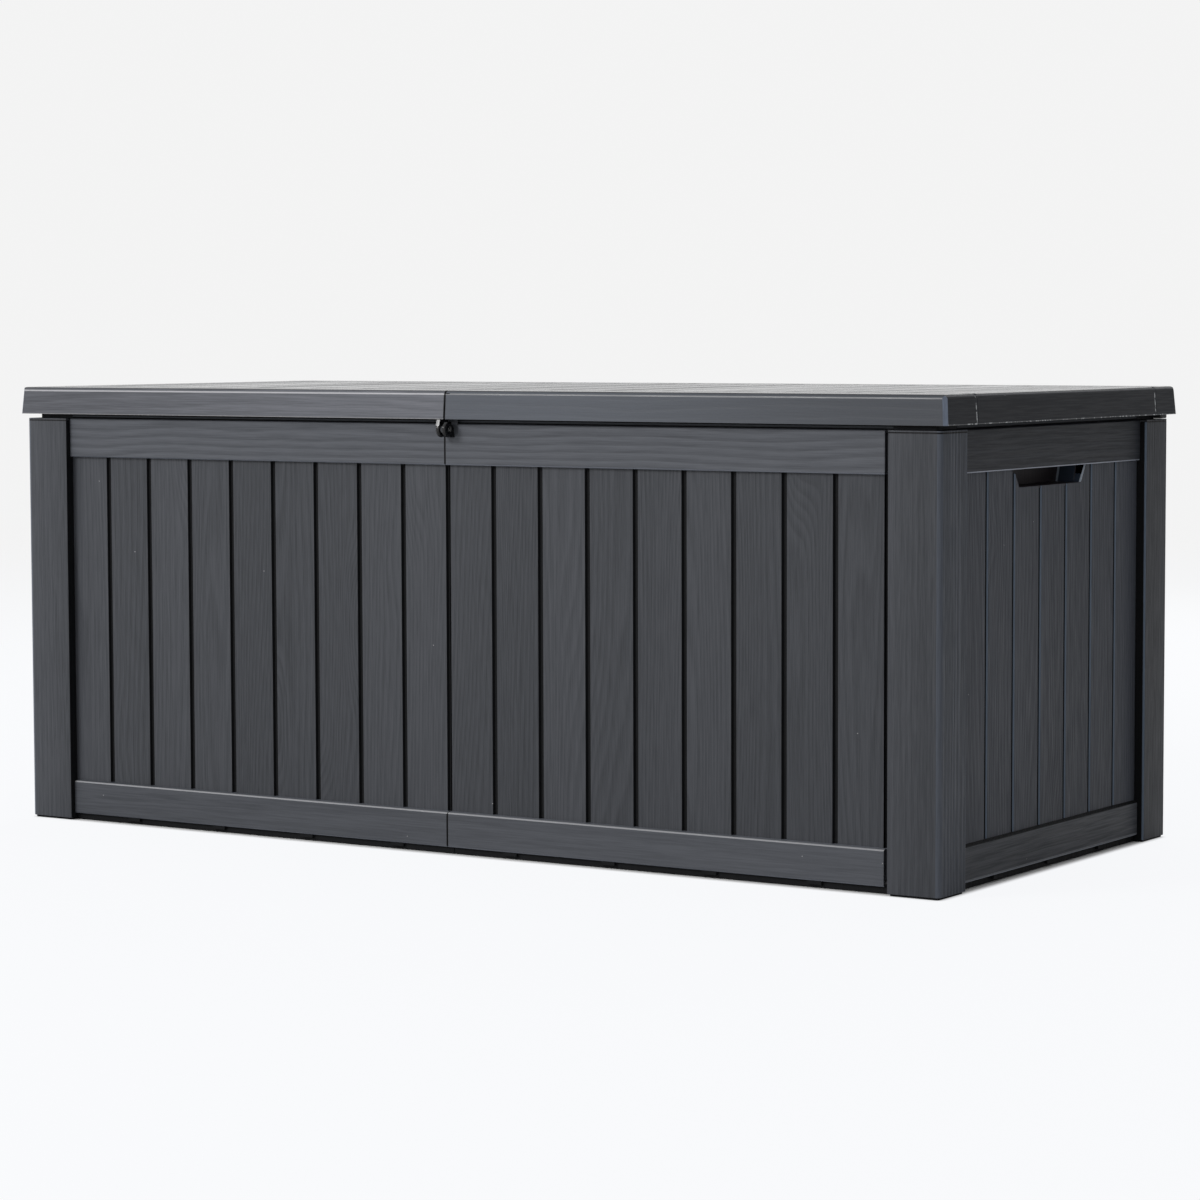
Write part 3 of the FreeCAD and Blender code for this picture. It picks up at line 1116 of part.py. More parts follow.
def strut_piston(name, side):
    """The disc on the rod's hidden end."""
    body = new_body(name)
    disc = sketch_on(body, "XY_Plane", "disc", "rod_start")
    circle(disc, "0", "0", "cylinder_bore - 2 * pin_fit")
    pad(body, disc, "piston_long")
    along_strut(body, side)
    return body


def box_ear(name):
    """The padlock ear that comes out of the front rail beside the seam, on a plate behind it."""
    body = new_body(name)
    back = f"(-{HALF_DEEP} + front_rail_recess + wall)"
    ear = sketch_on(body, "YZ_Plane", "ear", "ear_apart / 2")
    rectangle(ear, EAR_Y, f"{back} + ear_plate_thick / 2", f"{EAR_Z} - ear_radius", EAR_ROOT_TOP)
    pad(body, ear, "ear_thick")
    nose = sketch_on(body, "YZ_Plane", "nose", "ear_apart / 2")
    circle(nose, EAR_Y, EAR_Z, "2 * ear_radius")
    pad(body, nose, "ear_thick")
    plate = sketch_on(body, "XZ_Plane", "plate", f"-{back}")
    rectangle(plate, "-ear_plate_wide / 2", "ear_plate_wide / 2",
              f"{EAR_ROOT_TOP} - ear_plate_tall", EAR_ROOT_TOP)
    pad(body, plate, "ear_plate_thick", backwards=True)
    hole = sketch_on(body, "YZ_Plane", "hole")
    circle(hole, EAR_Y, EAR_Z, "ear_hole")
    pocket(body, hole, "ear_plate_wide", both_ways=True)
    return body


def lid_ear(name):
    """The padlock ear that hangs from inside the lid's front edge."""
    body = new_body(name)
    inside = f"(-{HALF_DEEP} - lid_front_over + wall + lid_draft + fit)"
    rail_face = f"(-{HALF_DEEP} + front_rail_recess - ear_clear)"
    lip = f"(-{HALF_DEEP} + front_plank_recess - ear_clear)"
    over_rail = "post_tall + ear_clear"
    ear = sketch_on(body, "YZ_Plane", "ear", "-ear_apart / 2 - ear_thick")
    outline(ear, [
        (f"{EAR_Y} - ear_radius", EAR_Z), (rail_face, EAR_Z), (rail_face, over_rail),
        (lip, over_rail), (lip, LID_UNDER), (inside, LID_UNDER), (inside, f"{LID_LOW} - fit"),
        (f"{EAR_Y} - ear_neck", f"{LID_LOW} - fit"),
    ])
    pad(body, ear, "ear_thick")
    nose = sketch_on(body, "YZ_Plane", "nose", "-ear_apart / 2 - ear_thick")
    circle(nose, EAR_Y, EAR_Z, "2 * ear_radius")
    pad(body, nose, "ear_thick")
    foot = sketch_on(body, "XY_Plane", "foot", f"{LID_UNDER} - ear_plate_thick")
    rectangle(foot, "-ear_plate_wide", "-ear_apart / 2", inside, lip)
    pad(body, foot, "ear_plate_thick")
    hole = sketch_on(body, "YZ_Plane", "hole")
    circle(hole, EAR_Y, EAR_Z, "ear_hole")
    pocket(body, hole, "ear_plate_wide", both_ways=True)
    return body


HINGES = ("-hinge_outer", "-hinge_inner", "hinge_inner", "hinge_outer")
SIDES = (("left", -1), ("right", 1))
# Each lid tube is held under these grooves, counted from the first one beside the seam.
SADDLE_BOARDS = ((-1, 6), (-1, 2), (1, 2), (1, 6))

parts = []

for word, side in SIDES:
    parts.append(post(f"post_front_{word}", -side, rear=False))
    parts.append(post(f"post_rear_{word}", side, rear=True))
    parts.append(post_cap(f"post_cap_front_{word}", -side, rear=False))
    parts.append(post_cap(f"post_cap_rear_{word}", side, rear=True))
    parts.append(half_panel(f"front_panel_{word}", side, rear=False))
    parts.append(half_panel(f"rear_panel_{word}", -side, rear=True))
    parts.append(side_panel(f"side_panel_{word}", side))
    parts.append(floor_half(f"floor_panel_{word}", side))
    parts.append(lid_half(f"lid_panel_{word}", side))
    parts.append(box_bracket(f"strut_bracket_box_{word}", side))
    parts.append(lid_bracket(f"strut_bracket_lid_{word}", side))
    parts.append(strut_cylinder(f"strut_cylinder_{word}", side))
    parts.append(strut_gland(f"strut_gland_{word}", side))
    parts.append(strut_eye(f"strut_eye_lower_{word}", side, upper=False))
    parts.append(strut_rod(f"strut_rod_{word}", side))
    parts.append(strut_piston(f"strut_piston_{word}", side))
    parts.append(strut_eye(f"strut_eye_upper_{word}", side, upper=True))
    doc.recompute()

parts.append(panel_joiner("panel_joiner_front", rear=False))
parts.append(panel_joiner("panel_joiner_rear", rear=True))
parts.append(floor_beam("floor_beam"))
parts.append(lid_joiner("lid_joiner"))
parts.append(lid_tube("lid_tube_front", "-tube_front_back"))
parts.append(lid_tube("lid_tube_rear", "tube_rear_back"))
parts.append(tube_saddles("lid_tube_saddles"))

for letter, middle in zip("abcd", HINGES):
    parts.append(box_leaf(f"hinge_leaf_box_{letter}", middle))
    parts.append(lid_leaf(f"hinge_leaf_lid_{letter}", middle))
parts.append(hinge_pins("hinge_pins"))

rail_back = f"({HALF_DEEP} - front_rail_recess + leaf_thick)"
box_spots = [(f"{middle} + ({step}) * box_screw_step", rail_back, f"{AXIS_Z} - box_screw_drop")
             for middle in HINGES for step in (-1, 0, 1)]
parts.append(screws("hinge_screws_box", box_spots, "-90", Vector(1, 0, 0), (0, 1, 0)))
lid_slope = "(lid_draft * (lid_screw_rise - screw_head / 2) / lid_tall)"
lid_back = f"({HALF_DEEP} + lid_rear_over + leaf_thick - {lid_slope})"
lid_spots = [(f"{middle} + ({step}) * lid_screw_step", lid_back, f"{LID_LOW} + lid_screw_rise")
             for middle in HINGES for step in (-0.5, 0.5)]
parts.append(screws("hinge_screws_lid", lid_spots, "-90", Vector(1, 0, 0), (0, 1, 0)))
plate_x = f"({HALF_WIDE} - post_thick - bracket_thick)"
for word, side in SIDES:
    spots = [(f"{side} * {plate_x}", f"{LOWER_Y} + {across} * bracket_step_wide",
              f"{LOWER_Z} + {up} * bracket_step_tall") for across in (-0.5, 0.5) for up in (-0.5, 0.5)]
    parts.append(screws(f"bracket_screws_box_{word}", spots, f"{-side} * 90", Vector(0, 1, 0),
                        (-side, 0, 0)))
flange_z = f"({LID_UNDER} - boss_tall - bracket_thick)"
lid_bracket_spots = [(f"{side} * ({STRUT_X} - bracket_thick)",
                      f"{UPPER_Y} + {step} * lid_bracket_step", flange_z)
                     for word, side in SIDES for step in (-0.5, 0.5)]
parts.append(screws("bracket_screws_lid", lid_bracket_spots, "180", Vector(1, 0, 0), (0, 0, -1)))
parts.append(box_ear("lock_ear_box"))
parts.append(lid_ear("lock_ear_lid"))
doc.recompute()

# Every object has to have been rebuilt, and every sub-part has to be sound.
faults = [thing.Name for thing in doc.Objects if "Invalid" in thing.State or "Error" in thing.State]
faults += [thing.Label for thing in parts if thing.Shape.isNull() or not thing.Shape.isValid()]
if faults:
    raise RuntimeError("these did not build: " + ", ".join(faults))

os.makedirs("parts", exist_ok=True)
for thing in parts:
    thing.Shape.exportStep(os.path.join("parts", thing.Label + ".step"))
    box = thing.Shape.BoundBox
    print(f"{thing.Label}: {len(thing.Shape.Solids)} solids, {thing.Shape.Volume / 1000:.0f} cm3, "
          f"X {box.XMin:.1f} to {box.XMax:.1f}, Y {box.YMin:.1f} to {box.YMax:.1f}, "
          f"Z {box.ZMin:.1f} to {box.ZMax:.1f}")
print(len(parts), "sub-parts written")
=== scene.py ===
# %% [markdown]
# The object is an outdoor storage box in charcoal resin: plank-pattern walls between corner posts,
# a lid with boards on top, gas struts inside and two padlock ears at the front.
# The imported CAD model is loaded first. It is a fixed frame: nothing in it is moved or reshaped.
# Pieces that are made here either lie on it or stand in for one of its nodes.

# %% Load the frame
import json
import math
import bmesh
import bpy
from mathutils import Matrix, Vector


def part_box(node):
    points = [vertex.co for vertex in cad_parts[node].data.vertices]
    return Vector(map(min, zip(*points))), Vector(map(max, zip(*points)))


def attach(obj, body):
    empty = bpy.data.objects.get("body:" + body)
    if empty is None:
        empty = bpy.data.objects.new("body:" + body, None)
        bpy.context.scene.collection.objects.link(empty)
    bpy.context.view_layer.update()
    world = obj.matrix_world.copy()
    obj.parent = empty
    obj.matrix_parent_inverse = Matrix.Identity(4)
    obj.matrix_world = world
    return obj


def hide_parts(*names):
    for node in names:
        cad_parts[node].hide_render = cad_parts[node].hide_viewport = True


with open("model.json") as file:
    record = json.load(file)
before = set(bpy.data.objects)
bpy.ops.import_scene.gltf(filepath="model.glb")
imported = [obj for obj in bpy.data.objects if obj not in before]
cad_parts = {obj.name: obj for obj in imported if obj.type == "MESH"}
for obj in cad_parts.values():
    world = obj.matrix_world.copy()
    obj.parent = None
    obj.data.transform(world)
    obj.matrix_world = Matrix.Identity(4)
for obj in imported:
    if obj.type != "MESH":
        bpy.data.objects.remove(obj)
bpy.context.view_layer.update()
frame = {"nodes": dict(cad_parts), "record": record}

nodes = frame["nodes"]
body_of = {node: body for body, members in frame["record"]["behaviour"]["bodies"].items()
           for node in members}
slot_of = {part["node"]: part["material_slot"] for part in frame["record"]["subparts"]}

# %% [markdown]
# The camera stands where the photograph's was. Its place was worked out from straight edges of the
# box: a long lens, 5 metres off, a little above the height of the lid. Yaw, pitch and roll are
# turned into the camera's three axes, which is clearer to read than three Euler angles.

# %% Camera
CAMERA_PLACE = (2.88956, -4.40836, 0.72901)
CAMERA_YAW = 33.0
CAMERA_PITCH = 4.3
CAMERA_ROLL = -0.18
FOCAL_PIXELS = 3619.58
IMAGE_PIXELS = 1200
SENSOR_MM = 36.0
FAR_CLIP = 100.0


def camera_axes(yaw, pitch, roll):
    """Right, up and backward axes of a camera that looks along +Y when all angles are zero."""
    forward = Vector((-math.sin(yaw) * math.cos(pitch), math.cos(yaw) * math.cos(pitch), -math.sin(pitch)))
    level = Vector((math.cos(yaw), math.sin(yaw), 0.0))
    above = level.cross(forward)
    right = level * math.cos(roll) + above * math.sin(roll)
    up = above * math.cos(roll) - level * math.sin(roll)
    return right, up, -forward


lens = bpy.data.cameras.new("camera")
lens.sensor_width = SENSOR_MM
lens.lens = FOCAL_PIXELS / IMAGE_PIXELS * SENSOR_MM
lens.clip_end = FAR_CLIP
camera = bpy.data.objects.new("camera", lens)
bpy.context.collection.objects.link(camera)
angles = [math.radians(angle) for angle in (CAMERA_YAW, CAMERA_PITCH, CAMERA_ROLL)]
right, up, backward = camera_axes(*angles)
turn = Matrix((right, up, backward)).transposed().to_4x4()
camera.matrix_world = Matrix.Translation(CAMERA_PLACE) @ turn
bpy.context.scene.camera = camera
print("lens", round(lens.lens, 2), "mm")

# %% [markdown]
# Shader trees are easier to follow when the repeated steps of making and joining nodes have names.
# These helpers put one node into a tree, set its inputs from numbers or from other nodes'
# outputs, and start a node group with named inputs and outputs.

# %% Helpers for shader trees
def put(tree, kind, settings=None, **inputs):
    """Adds a node. Inputs are given by socket name (spaces as _) or as in0, in1 by number."""
    made = tree.nodes.new(kind)
    for name, value in (settings or {}).items():
        setattr(made, name, value)
    for name, value in inputs.items():
        spot = int(name[2:]) if name[:2] == "in" and name[2:].isdigit() else name.replace("_", " ")
        feed(tree, made.inputs[spot], value)
    return made


def feed(tree, socket, value):
    """Sets a socket to a number, or joins it to another node's output."""
    if isinstance(value, bpy.types.NodeSocket):
        tree.links.new(value, socket)
    elif value is not None:
        socket.default_value = value


def calc(tree, operation, first, second=None, third=None):
    """One Math node, and its result."""
    made = put(tree, "ShaderNodeMath", {"operation": operation}, in0=first, in1=second, in2=third)
    return made.outputs[0]


def span(tree, value, low, high, new_low=0.0, new_high=1.0):
    """A value moved from one range to another, and held inside it."""
    made = put(tree, "ShaderNodeMapRange", {"interpolation_type": "SMOOTHSTEP"}, Value=value,
               From_Min=low, From_Max=high, To_Min=new_low, To_Max=new_high)
    return made.outputs["Result"]


def blend_colours(tree, share, first, second):
    """The first colour where share is 0, the second where it is 1."""
    made = put(tree, "ShaderNodeMix", {"data_type": "RGBA"}, in0=share, in6=first, in7=second)
    return made.outputs[2]


def start_group(name, inputs, outputs):
    """A shader node group with named inputs (kind, value) and outputs (kind)."""
    group = bpy.data.node_groups.new(name, "ShaderNodeTree")
    for label, (kind, value) in inputs.items():
        socket = group.interface.new_socket(name=label, in_out="INPUT", socket_type="NodeSocket" + kind)
        if value is not None:
            socket.default_value = value
    for label, kind in outputs.items():
        group.interface.new_socket(name=label, in_out="OUTPUT", socket_type="NodeSocket" + kind)
    return group, group.nodes.new("NodeGroupInput").outputs, group.nodes.new("NodeGroupOutput").inputs


def use_group(tree, group, **inputs):
    """Puts a group into a tree, and gives its outputs."""
    return put(tree, "ShaderNodeGroup", {"node_tree": group}, **inputs).outputs


def tell_group(group):
    print("group", group.name, "with", len(group.nodes), "nodes")


print("helpers for shader trees are ready")

# %% [markdown]
# Moulded planks copy the grain of sawn timber. A saw that meets the year rings at a steep angle
# leaves straight, parallel lines. Where it meets them at a flat one, it leaves nested arches, and
# round a branch they close into a knot. All three are contour lines of one surface: an even slope
# across the board, hills stretched along it, and a few narrow peaks. Late wood ends sharply, so the
# lines fade on one side and are crisp on the other. A much finer noise gives the pores between
# them. The group gets a place whose Z runs along the grain, so one group serves every direction.

# %% The grain group
HILL_DETAIL = 0.8
RIPPLE_SCALE = (14.0, 4.5)
KNOT_SCALE = (7.0, 1.8)
KNOT_REACH = 0.3
LINE_RISE = (0.0, 0.7)
LINE_DROP = (0.76, 1.0)
TONE_SCALE = 0.35
PORE_STRETCH = 0.03
PORE_DETAIL = 3.0
PORE_ROUGHNESS = 0.62
NOISE_RANGE = (0.3, 0.7)
ARCH_RELIEF = 0.45
PORE_RELIEF = 0.7

grain, given, result = start_group(
    "board_grain",
    {"Place": ("Vector", None), "Across": ("Float", 11.0), "Along": ("Float", 1.3),
     "Rings": ("Float", 20.0), "Line Spacing": ("Float", 1.0), "Ripple": ("Float", 0.2),
     "Knots": ("Float", 0.0), "Pore Size": ("Float", 0.0022)},
    {"Arches": "Float", "Pores": "Float", "Tone": "Float", "Height": "Float"})
tree = grain
parts = put(tree, "ShaderNodeSeparateXYZ", Vector=given["Place"]).outputs


def stretched(tree, parts, across, along):
    """The place on the board, scaled across and along the grain."""
    scaled = {axis: calc(tree, "MULTIPLY", parts[axis], scale)
              for axis, scale in (("X", across), ("Y", across), ("Z", along))}
    return put(tree, "ShaderNodeCombineXYZ", **scaled).outputs[0]


def noise(tree, place, detail=1.0, roughness=0.4, scale=1.0):
    """A smooth random value at each place."""
    return put(tree, "ShaderNodeTexNoise", Vector=place, Scale=scale, Detail=detail,
               Roughness=roughness).outputs["Fac"]


hill_place = stretched(tree, parts, given["Across"], given["Along"])
hills = noise(tree, hill_place, HILL_DETAIL)
ripples = noise(tree, stretched(tree, parts, *RIPPLE_SCALE))
cells = put(tree, "ShaderNodeTexVoronoi", {"feature": "F1"}, Vector=stretched(tree, parts, *KNOT_SCALE),
            Scale=1.0).outputs["Distance"]
peaks = calc(tree, "MULTIPLY", span(tree, cells, 0.0, KNOT_REACH, 1.0, 0.0), given["Knots"])
slopes = calc(tree, "MULTIPLY", calc(tree, "ADD", hills, peaks), given["Rings"])
surface_height = calc(tree, "ADD", slopes, calc(tree, "MULTIPLY", ripples, given["Ripple"]))
turns = calc(tree, "ADD", surface_height, calc(tree, "DIVIDE", parts["X"], given["Line Spacing"]))
step = calc(tree, "FRACT", turns)
arches = calc(tree, "MULTIPLY", span(tree, step, *LINE_RISE), span(tree, step, *LINE_DROP, 1.0, 0.0))
fine_scale = calc(tree, "DIVIDE", 1.0, given["Pore Size"])
pore_place = stretched(tree, parts, fine_scale, calc(tree, "MULTIPLY", fine_scale, PORE_STRETCH))
pores = noise(tree, pore_place, PORE_DETAIL, PORE_ROUGHNESS)
tone = noise(tree, hill_place, scale=TONE_SCALE)
feed(tree, result["Arches"], arches)
feed(tree, result["Pores"], span(tree, pores, *NOISE_RANGE))
feed(tree, result["Tone"], span(tree, tone, *NOISE_RANGE))
height = calc(tree, "ADD", calc(tree, "MULTIPLY", arches, ARCH_RELIEF),
              calc(tree, "MULTIPLY", pores, PORE_RELIEF))
feed(tree, result["Height"], height)
tell_group(grain)

# %% [markdown]
# Every plank was cut from another board in the pattern maker's eyes, so the grain jumps from
# plank to plank. This group counts the planks along one direction and gives each its own
# random shift of the grain, and its own slightly lighter or darker tone.

# %% The plank group
PLANK_JUMP = 23.0

plank, given, result = start_group(
    "plank_shift",
    {"Coordinate": ("Float", 0.0), "First": ("Float", 0.0), "Pitch": ("Float", 0.1),
     "Seed": ("Float", 1.0)},
    {"Shift": "Vector", "Tone": "Float"})
tree = plank
past_first = calc(tree, "SUBTRACT", given["Coordinate"], given["First"])
number = calc(tree, "FLOOR", calc(tree, "DIVIDE", past_first, given["Pitch"]))
number_and_seed = put(tree, "ShaderNodeCombineXYZ", X=number, Y=given["Seed"]).outputs[0]
pick = put(tree, "ShaderNodeTexWhiteNoise", {"noise_dimensions": "2D"}, Vector=number_and_seed).outputs
jump = put(tree, "ShaderNodeVectorMath", {"operation": "SCALE"}, in0=pick["Color"], Scale=PLANK_JUMP)
feed(tree, result["Shift"], jump.outputs[0])
feed(tree, result["Tone"], pick["Value"])
tell_group(plank)

# %% [markdown]
# The corner posts look reeded: fine upright lines, a few millimetres apart, that fade in and
# out. A sine across the post gives the lines, a slow noise bends them and takes them away here and
# there, but not near the foot. Across runs as X + Y, because on each face of a post only one of the
# two changes.

# %% The reed group
DRIFT_ACROSS = 40.0
DRIFT_ALONG = 2.5
DRIFT_BEND = 1.2
DRIFT_SHOWN = (0.38, 0.6)
FOOT_ZONE = (0.30, 0.05)
WAVE_SHOWN = (-0.6, 1.0)

reed, given, result = start_group(
    "reeded_lines", {"Place": ("Vector", None), "Spacing": ("Float", 0.0088)}, {"Reeds": "Float"})
tree = reed
parts = put(tree, "ShaderNodeSeparateXYZ", Vector=given["Place"]).outputs
sideways = calc(tree, "ADD", parts["X"], parts["Y"])
slow = put(tree, "ShaderNodeCombineXYZ", X=calc(tree, "MULTIPLY", sideways, DRIFT_ACROSS),
           Z=calc(tree, "MULTIPLY", parts["Z"], DRIFT_ALONG)).outputs[0]
drift = put(tree, "ShaderNodeTexNoise", Vector=slow, Scale=1.0, Detail=1.0).outputs["Fac"]
phase = calc(tree, "ADD", calc(tree, "DIVIDE", sideways, given["Spacing"]),
             calc(tree, "MULTIPLY", drift, DRIFT_BEND))
waves = calc(tree, "SINE", calc(tree, "MULTIPLY", phase, 2 * math.pi))
near_foot = span(tree, parts["Z"], *FOOT_ZONE)
strength = calc(tree, "MAXIMUM", span(tree, drift, *DRIFT_SHOWN), near_foot)
feed(tree, result["Reeds"], calc(tree, "MULTIPLY", span(tree, waves, *WAVE_SHOWN), strength))
tell_group(reed)

# %% [markdown]
# New moulded resin is clean, but never quite even: a few pale specks of dust sit on it. A sparse
# cell pattern gives them. Only the cells whose random number is below the share that is asked for
# carry one, and each is a dot much smaller than its cell.

# %% The speck group
specks, given, result = start_group(
    "pale_specks",
    {"Place": ("Vector", None), "Spacing": ("Float", 0.02), "Share": ("Float", 0.1),
     "Size": ("Float", 0.0006)},
    {"Specks": "Float"})
tree = specks
parts = put(tree, "ShaderNodeSeparateXYZ", Vector=given["Place"]).outputs
on_face = put(tree, "ShaderNodeCombineXYZ", X=parts["X"], Y=parts["Z"]).outputs[0]
cells = put(tree, "ShaderNodeTexVoronoi", {"feature": "F1", "voronoi_dimensions": "2D"}, Vector=on_face,
            Scale=calc(tree, "DIVIDE", 1.0, given["Spacing"])).outputs
metres = calc(tree, "MULTIPLY", cells["Distance"], given["Spacing"])
dot = calc(tree, "LESS_THAN", metres, given["Size"])
chance = put(tree, "ShaderNodeSeparateColor", Color=cells["Color"]).outputs[0]
picked = calc(tree, "LESS_THAN", chance, given["Share"])
feed(tree, result["Specks"], calc(tree, "MULTIPLY", dot, picked))
tell_group(specks)

# %% [markdown]
# A thin line that is paler or darker than the face it runs along: a painted highlight along a
# round crest or a lit edge, painted shade over a seam, a parting line, or the row of tiny chips
# where two boards of the pattern meet. The group gives a line of some width at one value of a
# coordinate. Broken is how much of it a noise takes away.

# %% The line group
LINE_RIM = (0.35, 0.65)
CHIP_SCALE = 210.0
CHIP_DETAIL = 2.0
CHIP_SHOWN = (0.52, 0.62)

fine_line, given, result = start_group(
    "fine_line",
    {"Place": ("Vector", None), "Coordinate": ("Float", 0.0), "At": ("Float", 0.0),
     "Width": ("Float", 0.001), "Broken": ("Float", 0.0)},
    {"Line": "Float"})
tree = fine_line
away = calc(tree, "ABSOLUTE", calc(tree, "SUBTRACT", given["Coordinate"], given["At"]))
solid = span(tree, calc(tree, "DIVIDE", away, given["Width"]), *LINE_RIM, 1.0, 0.0)
chips = put(tree, "ShaderNodeTexNoise", Vector=given["Place"], Scale=CHIP_SCALE,
            Detail=CHIP_DETAIL).outputs["Fac"]
kept = span(tree, chips, *CHIP_SHOWN)
whole_share = calc(tree, "SUBTRACT", 1.0, given["Broken"])
present = calc(tree, "MAXIMUM", kept, whole_share)
feed(tree, result["Line"], calc(tree, "MULTIPLY", solid, present))
tell_group(fine_line)

# %% [markdown]
# Sizes that the finishes and pieces need, in metres, as the CAD model has them. The grain
# changes direction where a rail meets the planks, so those heights have names.

# %% Places on the box
POST_FRONT_WIDE = 0.076
POST_SIDE_WIDE = 0.072
FRONT_SHIFT = 0.008
SIDE_SHIFT = 0.008
FRONT_PLANKS = 9
SIDE_PLANKS = 7
HALF_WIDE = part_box("post_front_right")[1].x
HALF_DEEP = -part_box("post_front_right")[0].y
TOP_RAIL_LOW = 0.541
BOTTOM_RAIL_TOP = 0.0595
FRONT_PITCH = (HALF_WIDE - POST_FRONT_WIDE) / FRONT_PLANKS
SIDE_PITCH = 2 * (HALF_DEEP - POST_SIDE_WIDE) / SIDE_PLANKS
SIDE_FIRST = -HALF_DEEP + POST_SIDE_WIDE + SIDE_SHIFT
LID_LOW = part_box("lid_panel_right")[0].z
LID_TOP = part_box("lid_panel_right")[1].z
BOTTOM_RAIL_LOW = 0.010
CAP_TOP = 0.598
SCOOP_BACK = 0.711
print("front pitch", round(FRONT_PITCH, 4), "side pitch", round(SIDE_PITCH, 4), "lid", LID_LOW, LID_TOP)

# %% [markdown]
# The resin itself is one material recipe with a few settings: which way the grain runs, where
# the planks start, how strong the grain is. Every surface of the walls and the lid is a
# call of this recipe. Colours are linear values, settled by comparing renders with the photograph.

# %% The resin recipe
RESIN_LIGHT = (0.0570, 0.0605, 0.0695)
RESIN_DARK = (0.0255, 0.0277, 0.0325)
SPECK_COLOUR = (0.42, 0.42, 0.43, 1.0)
MIRRORED = {"|X|": "X"}
finish = {}
LEAST_COLOUR = 0.003
END_SHADE_START = 0.15
REED_RELIEF = 2.0
RELIEF_STRENGTH = 0.6


def grain_place(tree, axes):
    """The place on the object with its axes in the order across, depth, along the grain."""
    where = put(tree, "ShaderNodeTexCoord").outputs["Object"]
    parts = put(tree, "ShaderNodeSeparateXYZ", Vector=where).outputs
    swapped = put(tree, "ShaderNodeCombineXYZ", X=parts[axes[0]], Y=parts[axes[1]], Z=parts[axes[2]])
    return swapped.outputs[0], parts


def resin(name, axes, planks=None, seed=1.0, across=11.0, along=1.3, rings=7.0, spacing=1.0, ripple=0.2,
          knots=0.0, pore=0.0022, arch_tone=0.3, pore_tone=0.4, plank_tone=0.12, shade=1.0, contrast=1.0,
          rough=(0.42, 0.58), relief=0.0005, speck_share=0.006, reeds=0.0, tint=(1.0, 1.0, 1.0),
          lines_at=(), specular=0.24, gloss_by="Pores", ends=1.0, key=None):
    """Charcoal resin with embossed grain. planks is (axis, first, pitch) where boards lie side by side.

    Each of lines_at is a thin line: (axis, place on it, width, brokenness, colour), where the axis
    |X| means both ends of the box. gloss_by names the part of the grain that the roughness follows.
    ends is how much colour is kept at the box's ends, as painted shade where less light falls.
    The material goes into finish under key, or else under its own name.
    """
    made = bpy.data.materials.new(name)
    made.use_nodes = True
    tree = made.node_tree
    shader = tree.nodes["Principled BSDF"]
    shader.inputs["Specular IOR Level"].default_value = specular
    place, parts = grain_place(tree, axes)
    flat_place = place
    tone = None
    if planks:
        axis, first, pitch = planks
        shift = use_group(tree, plank, Coordinate=parts[axis], First=first, Pitch=pitch, Seed=seed)
        place = put(tree, "ShaderNodeVectorMath", {"operation": "ADD"}, in0=place,
                    in1=shift["Shift"]).outputs[0]
        tone = calc(tree, "MULTIPLY", calc(tree, "SUBTRACT", shift["Tone"], 0.5), plank_tone)
    lines = use_group(tree, grain, Place=place, Across=across, Along=along, Rings=rings,
                      Line_Spacing=spacing, Ripple=ripple, Knots=knots, Pore_Size=pore)
    share = calc(tree, "ADD", calc(tree, "MULTIPLY", lines["Arches"], arch_tone),
                 calc(tree, "MULTIPLY", lines["Pores"], pore_tone))
    share = calc(tree, "ADD", share, calc(tree, "MULTIPLY", lines["Tone"], 1.0 - arch_tone - pore_tone))
    relief_height = lines["Height"]
    if tone:
        share = calc(tree, "ADD", share, tone)
    if reeds:
        rows = use_group(tree, reed, Place=flat_place)
        share = calc(tree, "ADD", share, calc(tree, "MULTIPLY", rows["Reeds"], reeds))
        ridges = calc(tree, "MULTIPLY", rows["Reeds"], REED_RELIEF * reeds)
        relief_height = calc(tree, "ADD", relief_height, ridges)
    middle = [(low + high) / 2 for low, high in zip(RESIN_DARK, RESIN_LIGHT)]
    dark = [max(LEAST_COLOUR, hue * shade * (mean + contrast * (low - mean)))
            for hue, low, mean in zip(tint, RESIN_DARK, middle)]
    light = [hue * shade * (mean + contrast * (high - mean))
             for hue, high, mean in zip(tint, RESIN_LIGHT, middle)]
    colour = blend_colours(tree, share, (*dark, 1.0), (*light, 1.0))
    # Painted shade: the colour darkens towards both ends of the box, where less light falls.
    if ends < 1.0:
        end_shade_share = span(tree, calc(tree, "ABSOLUTE", parts["X"]), END_SHADE_START * HALF_WIDE, HALF_WIDE)
        end_shaded = put(tree, "ShaderNodeMix", {"data_type": "RGBA", "blend_type": "MULTIPLY"}, in0=end_shade_share,
                    in6=colour, in7=(ends, ends, ends, 1.0))
        colour = end_shaded.outputs[2]
    dots = use_group(tree, specks, Place=place, Share=speck_share)["Specks"]
    colour = blend_colours(tree, dots, colour, SPECK_COLOUR)
    for axis, at, width, broken, hue in lines_at:
        coordinate = calc(tree, "ABSOLUTE", parts[MIRRORED[axis]]) if axis in MIRRORED else parts[axis]
        line = use_group(tree, fine_line, Place=flat_place, Coordinate=coordinate, At=at, Width=width,
                         Broken=broken)["Line"]
        colour = blend_colours(tree, line, colour, (*hue, 1.0))
    feed(tree, shader.inputs["Base Color"], colour)
    feed(tree, shader.inputs["Roughness"], span(tree, lines[gloss_by], 0.0, 1.0, rough[1], rough[0]))
    bump = put(tree, "ShaderNodeBump", Strength=RELIEF_STRENGTH, Distance=relief, Height=relief_height)
    feed(tree, shader.inputs["Normal"], bump.outputs[0])
    finish[key or name] = made


# %% [markdown]
# The recipe has to know how each surface lies and how coarse its boards are. Three axes name the
# directions across the boards, into the surface and along the grain. Surfaces that copy the same
# timber share one named set of grain values.

